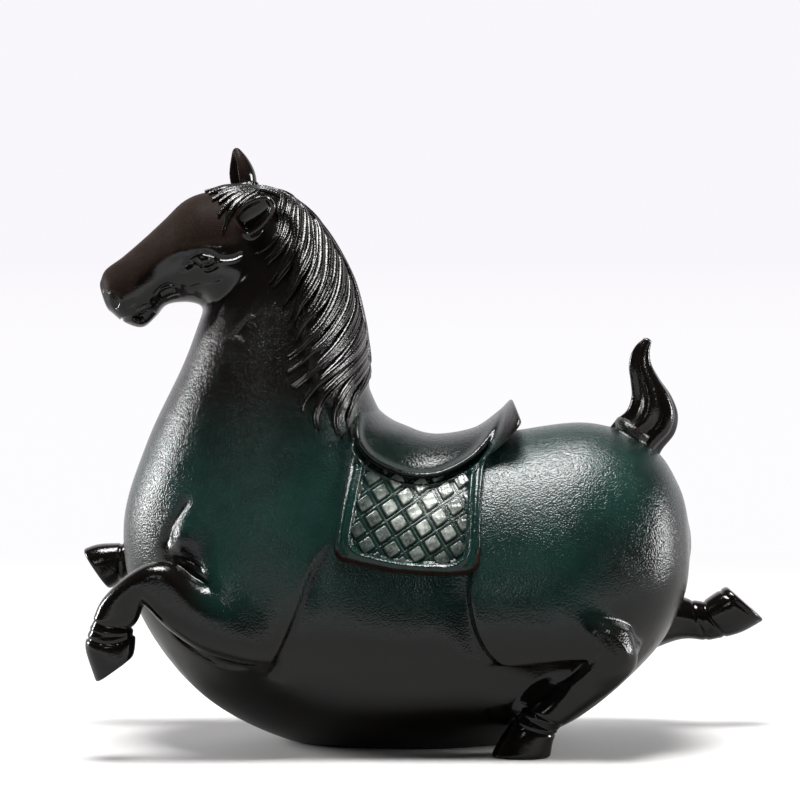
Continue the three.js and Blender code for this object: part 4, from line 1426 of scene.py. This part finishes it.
def cantleLift(bare, c):
    along = np.clip((bare[:, 0] - saddle["cantleStart"]) / saddle["cantleLength"], 0, saddle["cantleMost"])
    crown = np.maximum(0, c) ** saddle["cantleCrown"]
    return saddle["cantleFoot"] + saddle["cantleRise"] * crown * along ** saddle["cantleSweep"]


def clothHeight(cloth, border, seat, z):
    panel = smoothStep(saddle["panelEdge"], -saddle["panelEdge"], border)
    height = saddle["cloth"] + bead(cloth, *saddle["hem"])
    height += saddle["lowerEdge"] * smoothStep(*saddle["lowerFrom"], z)
    low = smoothStep(*saddle["bevelFrom"], z)
    height *= 1 - saddle["bevel"] * smoothStep(*saddle["bevelAcross"], cloth) * low
    height = height * (1 - panel) + saddle["panel"] * panel
    height += bead(border, *saddle["border"]) + bead(border, *saddle["borderGroove"])
    groove = smoothStep(*saddle["grooveAcross"], seat)
    height = height * (1 - groove) + saddle["groove"] * groove
    return height + bead(seat, *saddle["rim"]) * smoothStep(*saddle["rimInside"], cloth)


def paintSaddle(x, z):
    onSeat = smoothStep(*saddle["seatEdgeFade"], outlineDistance(seatOutline(), x, z))
    teal = saddle["clothTeal"] * (1 - onSeat) * smoothStep(*saddle["tealFrom"], z)
    teal += saddle["seatTeal"] * onSeat
    edge = outlineDistance(saddle["clothOutline"], x, z)
    under = smoothStep(*saddle["underAcross"], edge) * smoothStep(*saddle["underFrom"], z)
    return {"teal": teal * (1 - under), "matte": under, "grain": saddle["grain"]}


def makeSaddle():
    mould = Cast(saddle["low"], saddle["high"], saddle["grid"], saddle["reach"])
    pourHorse(mould)
    skin = mould.field.copy()
    x, z = np.meshgrid(mould.x.ravel(), mould.z.ravel(), indexing="ij")
    cloth = outlineDistance(saddle["clothOutline"], x, z)
    border = outlineDistance(saddle["borderOutline"], x, z)
    seat, profile = outlineDistance(seatOutline(), x, z), outlineDistance(saddle["cantleProfile"], x, z)
    height = clothHeight(cloth, border, seat, z)
    seatHeight = saddle["seat"] + bead(seat, *saddle["lip"])
    fade = 1 - (1 - smoothStep(*saddle["frontFade"], z)) * smoothStep(*saddle["frontReach"], x)
    height, seatHeight = (rise * fade - saddle["sunk"] * (1 - fade) for rise in (height, seatHeight))
    thin = np.where(mould.y > 0, saddle["farThinner"], 1.0)
    height, seatHeight, cloth, seat, profile = (
        plane[:, None, :] for plane in (height, seatHeight, cloth, seat, profile))
    piece = within(skin - height * thin, cloth, saddle["clothBlend"])
    piece = np.minimum(piece, within(skin - seatHeight * thin, seat, saddle["seatBlend"]))
    raised = mould.reads(trunkSkin(lift=cantleLift))
    rear = np.maximum(smoothMin(seat + saddle["cantleEdge"], profile, saddle["profileBlend"]),
                      saddle["cantleStart"] - saddle["rearLap"] - mould.x)
    piece = smoothMin(piece, within(raised, rear, saddle["cantleBlend"]), saddle["cantleBlend"])
    mould.field = np.maximum(piece, -(skin + saddle["inner"])).astype(np.float32)
    mould.soften(saddle["softness"])
    points, quads = mould.skin()
    print(f"stage: saddle cast, {len(quads)} quads")
    return makeMesh("saddle", points, quads, paint=paintSaddle(points[:, 0], points[:, 2]))


lattice = {
    "grid": 0.22,
    "pitch": (6.4, 5.95),
    "slope": math.radians(32),
    "first": (3.4, 88.0),
    "studSide": (4.7, 4.35),
    "studRise": 1.3,
    "studUneven": 0.13,
    "threadRise": 0.6,
    "threadWidth": 0.42,
    "base": 0.5,
    "reach": 30.0,
    "insideBorder": 0.7,
    "outsideSeat": 1.6,
    "squareness": 8,
    "studEdge": (1.12, 0.86),
    "studCrown": 0.08,
    "unevenEdge": (1.0, 0.6),
    "unevenAlong": (1.9, 0.7),
    "unevenAcross": (1.7, 0.9),
    # A painted highlight: the studs and threads round this place are tinted pale, standing in for the
    # overhead light they catch
    "paintedSheen": ((8.5, 83.0), (15.0, 11.0)),
    "sheenEdge": (1.0, 0.8),
    "sheenThread": (0.0, 0.35, 0.3),
    "layRounds": 5,
    "deep": 0.8,
    "teal": 0.5,
    "grain": 0.4,
}


def makeLattice(side):
    name = "lattice_near" if side == near else "lattice_far"
    step, reach, slope = lattice["grid"], lattice["reach"], lattice["slope"]
    line = np.arange(-reach, reach + step, step)
    u, v = np.meshgrid(line, line, indexing="ij")
    x = lattice["first"][0] + u * math.cos(slope) - v * math.sin(slope)
    z = lattice["first"][1] + u * math.sin(slope) + v * math.cos(slope)
    kept = outlineDistance(saddle["borderOutline"], x, z) < lattice["insideBorder"]
    kept &= outlineDistance(seatOutline(), x, z) > lattice["outsideSeat"]
    gaps = []
    for w, pitch, size in zip((u, v), lattice["pitch"], lattice["studSide"]):
        offset = np.abs((w + pitch / 2) % pitch - pitch / 2)
        gaps.append((offset / (size / 2), pitch / 2 - offset))
    squareness = lattice["squareness"]
    across = (gaps[0][0] ** squareness + gaps[1][0] ** squareness) ** (1 / squareness)
    crown = 1 - lattice["studCrown"] * np.minimum(across, 1) ** 2
    stud = lattice["studRise"] * smoothStep(*lattice["studEdge"], across) * crown
    (alongU, alongV), (acrossV, acrossU) = lattice["unevenAlong"], lattice["unevenAcross"]
    uneven = np.sin(u * alongU + alongV * v) * np.cos(v * acrossV - acrossU * u)
    stud += lattice["studUneven"] * uneven * smoothStep(*lattice["unevenEdge"], across)
    toEdge = np.minimum(gaps[0][1], gaps[1][1])
    height = lattice["base"] + stud + bead(toEdge, 0.0, lattice["threadWidth"], lattice["threadRise"])
    # Painted highlight: stud tops and threads near the lattice middle get the pale highlight colour
    bare = smoothStep(*lattice["sheenEdge"], across) + bead(toEdge, *lattice["sheenThread"])
    paintedSheen = patch(x, z, *lattice["paintedSheen"]) * bare
    number = np.full(u.shape, -1)
    number[kept] = np.arange(kept.sum())
    flat = np.column_stack([x[kept], z[kept]])
    t, angle = flankPlace(flat[:, 0], flat[:, 1])
    base = flankPoints(t, angle, side)
    for _ in range(lattice["layRounds"]):
        base[:, 1] -= side * moulds["body"].at(base)
    normal = moulds["body"].slope(base)
    thin = saddle["farThinner"] if side == far else 1.0
    top, bottom = base + normal * (height[kept] * thin)[:, None], base - normal * lattice["deep"]
    corners = [number[:-1, :-1], number[1:, :-1], number[1:, 1:], number[:-1, 1:]]
    quads = np.stack([c.ravel() for c in corners], 1)
    quads = quads[(quads >= 0).all(1)]
    edges = np.vstack([quads[:, [i, (i + 1) % 4]] for i in range(4)])
    key = np.sort(edges, 1)
    code = key[:, 0] * len(flat) + key[:, 1]
    _, first, uses = np.unique(code, return_index=True, return_counts=True)
    rim = edges[first[uses == 1]]
    total = len(flat)
    faces = np.vstack([quads, quads[:, ::-1] + total, np.column_stack([rim[:, ::-1], rim + total])])
    points = np.vstack([top, bottom])
    used = np.unique(faces)
    lookup = np.full(2 * total, -1)
    lookup[used] = np.arange(len(used))
    print(f"stage: {name}, {len(faces)} quads")
    paint = {"teal": lattice["teal"], "matte": 0.0, "grain": lattice["grain"],
             "paintedSheen": np.r_[paintedSheen[kept], np.zeros(total)][used]}
    return makeMesh(name, points[used], lookup[faces], paint=paint)


class Shade:
    def __init__(self, tree, socket=None):
        self.tree, self.socket = tree, socket

    def node(self, kind, settings=None, inputs=None, output=0):
        made = self.tree.nodes.new(kind)
        for key, value in (settings or {}).items():
            setattr(made, key, value)
        for key, value in (inputs or {}).items():
            if isinstance(value, Shade):
                self.tree.links.new(value.socket, made.inputs[key])
            else:
                made.inputs[key].default_value = value
        return Shade(self.tree, made.outputs[output])

    def maths(self, operation, first, second):
        return self.node("ShaderNodeMath", {"operation": operation}, {0: first, 1: second})

    def __add__(self, other):
        return self.maths("ADD", self, other)

    def __sub__(self, other):
        return self.maths("SUBTRACT", self, other)

    def __mul__(self, other):
        return self.maths("MULTIPLY", self, other)

    def __rsub__(self, other):
        return self.maths("SUBTRACT", other, self)

    __radd__, __rmul__ = __add__, __mul__


def noise(place, size, detail, roughness):
    return place.node("ShaderNodeTexNoise", None,
                      {"Vector": place, "Scale": 1 / (size * metre), "Detail": detail,
                       "Roughness": roughness})


def ramp(value, start, end, low=0.0, high=1.0):
    return value.node("ShaderNodeMapRange", {"interpolation_type": "SMOOTHSTEP"},
                      {"Value": value, "From Min": start, "From Max": end, "To Min": low, "To Max": high})


def clamped(value):
    return value.node("ShaderNodeClamp", inputs={"Value": value})


def tint(amount, first, second):
    return amount.node("ShaderNodeMix", {"data_type": "RGBA"}, {0: amount, 6: first, 7: second}, 2)


glaze = {
    "dark": (0.0055, 0.0042, 0.0035, 1),
    "teal": (0.0085, 0.043, 0.0345, 1),
    "fleck": (0.014, 0.030, 0.025, 1),
    "clay": (0.016, 0.0100, 0.0078, 1),
    "clayFleck": (0.026, 0.017, 0.013, 1),
    # Near-black of hollows and creases: pooled glaze and painted shade
    "pooledAndShaded": (0.002, 0.0024, 0.0022, 1),
    "thin": (0.016, 0.010, 0.0075, 1),
    # Pale colour of the painted highlight on the lattice studs
    "paintedSheen": (0.85, 0.9, 0.82, 1),
    "patch": {"size": 22.0, "detail": 3.0, "roughness": 0.55},
    "mottle": {"size": 6.0, "detail": 2.0, "roughness": 0.6},
    "speck": {"size": 0.9, "detail": 2.0, "roughness": 0.7},
    "mottleInPatch": 0.6,
    "mottleInFleck": 0.4,
    "mottleInClay": 0.5,
    "speckInSheen": 0.5,
    "lively": (0.55, 1.05, 0.8, 1.2),
    "fleckFrom": (0.72, 0.95, 0.0, 0.5),
    "fleckOnGrain": (0.9, 0.1),
    "pooledShadeFrom": (0.08, 0.9, 0.0, 0.75),
    "thinFrom": (-0.12, -0.9, 0.0, 0.55),
    "sheenFrom": (0.45, 0.95, 0.15, 1.0),
    "clayFrom": (0.6, 1.05),
    "leather": 0.66,
    "bendsPerMetre": 420.0,
    "leatherShift": 1.1,
    "leatherSmooth": 0.55,
    "fineGrain": {"size": 0.42, "detail": 2.0, "roughness": 0.55},
    "ripple": {"size": 9.0, "detail": 2.0, "roughness": 0.5},
    "relief": 0.16,
    "cellHeight": -0.85,
    "fineHeight": 0.55,
    "rippleHeight": 0.6,
    "clayHeight": 0.35,
    "glossHeight": 0.03,
    "gloss": 0.1,
    "grainRoughness": 0.12,
    "mottleRoughness": 0.12,
    "matteRoughness": 0.5,
    "drySpecular": 0.04,
    "specular": 0.55,
}


def makeGlaze():
    made = bpy.data.materials.new("glaze")
    made.use_nodes = True
    tree = made.node_tree
    shader = tree.nodes["Principled BSDF"]
    place = Shade(tree).node("ShaderNodeTexCoord", output="Object")
    teal, matte, grain, pool, paintedSheen = (
        place.node("ShaderNodeAttribute", {"attribute_name": key}, output="Fac")
        for key in ("teal", "matte", "grain", "pool", "paintedSheen"))
    patches, mottle, specks = (noise(place, **glaze[key]) for key in ("patch", "mottle", "speck"))
    fine, ripple = (noise(place, **glaze[key]) for key in ("fineGrain", "ripple"))
    lively = ramp(patches + mottle * glaze["mottleInPatch"], *glaze["lively"])
    colour = tint(clamped(teal * lively), glaze["dark"], glaze["teal"])
    most, least = glaze["fleckOnGrain"]
    flecks = ramp(specks + mottle * glaze["mottleInFleck"], *glaze["fleckFrom"]) * (grain * most + least)
    colour = tint(flecks, colour, glaze["fleck"])
    # Hollows and creases are darkened: pooled glaze and painted shade
    colour = tint(ramp(pool, *glaze["pooledShadeFrom"]), colour, glaze["pooledAndShaded"])
    colour = tint(ramp(pool, *glaze["thinFrom"]), colour, glaze["thin"])
    # Painted highlight: the lattice studs and threads are tinted pale by this mask
    sheen = paintedSheen * ramp(mottle + specks * glaze["speckInSheen"], *glaze["sheenFrom"])
    colour = tint(sheen, colour, glaze["paintedSheen"])
    tree.links.new(colour.socket, shader.inputs["Base Color"])
    bend = place.node("ShaderNodeTexNoise", None,
                      {"Vector": place, "Scale": glaze["bendsPerMetre"]}, "Color")
    shift = (glaze["leatherShift"] * metre,) * 3
    bent = place.node("ShaderNodeVectorMath", {"operation": "MULTIPLY_ADD"}, {0: bend, 1: shift, 2: place})
    cells = place.node("ShaderNodeTexVoronoi", {"feature": "SMOOTH_F1"},
                       {"Vector": bent, "Scale": 1 / (glaze["leather"] * metre),
                        "Smoothness": glaze["leatherSmooth"]}, "Distance")
    relief = (cells * glaze["cellHeight"] + fine * glaze["fineHeight"]) * grain
    relief = relief + ripple * glaze["rippleHeight"]
    relief = relief + fine * matte * glaze["clayHeight"] + fine * glaze["glossHeight"]
    bump = relief.node("ShaderNodeBump", None,
                       {"Height": relief, "Strength": 1.0, "Distance": glaze["relief"] * metre}, "Normal")
    tree.links.new(bump.socket, shader.inputs["Normal"])
    rough = glaze["gloss"] + grain * glaze["grainRoughness"] + (mottle - 0.5) * glaze["mottleRoughness"]
    tree.links.new(rough.socket, shader.inputs["Roughness"])
    shader.inputs["Specular IOR Level"].default_value = glaze["specular"]
    speckle = ramp(specks + mottle * glaze["mottleInClay"], *glaze["clayFrom"])
    dry = place.node("ShaderNodeBsdfPrincipled", inputs={
        "Base Color": tint(speckle, glaze["clay"], glaze["clayFleck"]),
        "Roughness": glaze["matteRoughness"], "Specular IOR Level": glaze["drySpecular"], "Normal": bump})
    both = place.node("ShaderNodeMixShader", inputs={0: matte, 1: Shade(tree, shader.outputs[0]), 2: dry})
    tree.links.new(both.socket, tree.nodes["Material Output"].inputs["Surface"])
    return made


glazeMaterial = makeGlaze()
print("stage: glaze made")

for name in ["body", *regions]:
    makeCastPiece(name)
makeSaddle()
for side in (near, far):
    makeLattice(side)
makeTail()
strandSkin = strandTree()
hair = {"teal": 0.0, "matte": 0.0, "grain": mane["grain"]}
locks = {
    "mane_near": maneStrands(near, mane["locks"]),
    "mane_far": maneStrands(far, mane["farLocks"]),
    "mane_crest": crestStrands(),
    "forelock": forelockStrands(),
}
for name, strands in locks.items():
    makeStrands(name, strands, strandSkin, glazeMaterial, mane["sides"], hair)
    print(f"stage: {name} laid")

# Camera, lights and floor

view = {
    "distance": 1.3,
    "elevation": math.radians(3.3),
    "target": (0.00175, 0, 0.1195),
    "sensor": 36.0,
    "frameWidth": 0.28,  # what the picture spans at the target, in metres
}
studio = {
    "backdrop": (0.945, 0.925, 0.965, 1),
    "near": (0.985, 0.975, 0.99, 1),
    "paper": (0.88, 0.87, 0.86, 1),
    "paperRoughness": 0.6,
    "paperSpecular": 0.2,
    "floorHalf": 8,
    "fade": (0.16, 0.7),
    "haze": (0.8, 9.0),
    # Painted shadow: near the horse the floor is darkened in reflections, standing in for the horse's
    # shadow on it
    "reflectedShadow": (0.15, 0.9, 0.36, 0.95),
    "glow": (0.1, 0.65, 0.012, 0.9),
    "glowTilt": 0.5,
    "lamps": {
        "overhead": {"place": (-0.05, -0.03, 1.1), "aim": (0, 0, 0.08), "size": (0.45, 0.55), "power": 18},
        "left": {"place": (-1.0, 0.3, 0.3), "aim": (0, 0, 0.1), "size": (0.2, 0.45), "power": 10},
        "front": {"place": (-0.24, -0.95, 0.43), "aim": (0, 0, 0.1), "size": (0.14, 0.12), "power": 0.3},
        "right": {"place": (1.1, 0.0, 0.3), "aim": (0, 0, 0.08), "size": (0.3, 0.5), "power": 10},
    },
}


def makeCamera():
    distance, elevation = view["distance"], view["elevation"]
    target = Vector(view["target"])
    camera = bpy.data.objects.new("camera", bpy.data.cameras.new("camera"))
    bpy.context.collection.objects.link(camera)
    camera.location = target + Vector((0, -distance * math.cos(elevation), distance * math.sin(elevation)))
    camera.rotation_euler = (target - camera.location).to_track_quat("-Z", "Y").to_euler()
    camera.data.sensor_width = view["sensor"]
    camera.data.lens = view["sensor"] * distance / view["frameWidth"]
    bpy.context.scene.camera = camera


def makeLight(name, place, aim, size, power):
    light = bpy.data.lights.new(name, "AREA")
    light.shape = "RECTANGLE"
    light.size, light.size_y = size
    light.energy = power
    lamp = bpy.data.objects.new(name, light)
    bpy.context.collection.objects.link(lamp)
    lamp.location = place
    lamp.rotation_euler = (Vector(aim) - Vector(place)).to_track_quat("-Z", "Y").to_euler()


def makePaper():
    paper = bpy.data.materials.new("paper")
    paper.use_nodes = True
    tree = paper.node_tree
    shader = tree.nodes["Principled BSDF"]
    shader.inputs["Base Color"].default_value = studio["paper"]
    shader.inputs["Roughness"].default_value = studio["paperRoughness"]
    shader.inputs["Specular IOR Level"].default_value = studio["paperSpecular"]
    place = Shade(tree).node("ShaderNodeTexCoord", output="Object")
    away = place.node("ShaderNodeVectorMath", {"operation": "LENGTH"}, {0: place}, "Value")
    start, end = studio["fade"]
    fade = clamped((away - start) * (1 / (end - start)))
    haze = tint(ramp(away, *studio["haze"]), studio["near"], studio["backdrop"])
    glow = place.node("ShaderNodeEmission", inputs={"Color": haze, "Strength": 1.0})
    mixed = place.node("ShaderNodeMixShader", inputs={0: fade, 1: Shade(tree, shader.outputs[0]), 2: glow})
    # Painted shadow: rays that are not the camera's see the floor darker near the horse
    seen = place.node("ShaderNodeLightPath", output="Is Camera Ray")
    shadowInReflections = (1 - seen) * (1 - ramp(away, *studio["reflectedShadow"]))
    black = place.node("ShaderNodeEmission", inputs={"Strength": 0.0})
    mixed = place.node("ShaderNodeMixShader", inputs={0: shadowInReflections, 1: mixed, 2: black})
    tree.links.new(mixed.socket, tree.nodes["Material Output"].inputs["Surface"])
    return paper


def makeSurroundings():
    world = bpy.data.worlds.new("studio")
    world.use_nodes = True
    tree = world.node_tree
    seen = Shade(tree).node("ShaderNodeLightPath", output="Is Camera Ray")
    way = seen.node("ShaderNodeTexCoord", output="Generated")
    depth = seen.node("ShaderNodeSeparateXYZ", inputs={0: way}, output="Y")
    height = seen.node("ShaderNodeSeparateXYZ", inputs={0: way}, output="Z")
    bright = ramp(depth - height * studio["glowTilt"], *studio["glow"])
    strength = bright * (1 - seen) + seen
    tree.links.new(strength.socket, tree.nodes["Background"].inputs["Strength"])
    tree.nodes["Background"].inputs["Color"].default_value = studio["backdrop"]
    bpy.context.scene.world = world


def makeStudio():
    floor = bpy.data.meshes.new("floor")
    half = studio["floorHalf"]
    corners = [(-half, -half, 0), (half, -half, 0), (half, half, 0), (-half, half, 0)]
    floor.from_pydata(corners, [], [(0, 1, 2, 3)])
    stage = bpy.data.objects.new("floor", floor)
    bpy.context.collection.objects.link(stage)
    floor.materials.append(makePaper())
    for name, lamp in studio["lamps"].items():
        makeLight(name, **lamp)
    makeSurroundings()
    bpy.context.scene.view_settings.view_transform = "Standard"


for piece in pieces.values():
    piece.data.materials.clear()
    piece.data.materials.append(glazeMaterial)
    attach(piece, "root")
    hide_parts("horse")

makeCamera()
makeStudio()
print("stage: studio made")
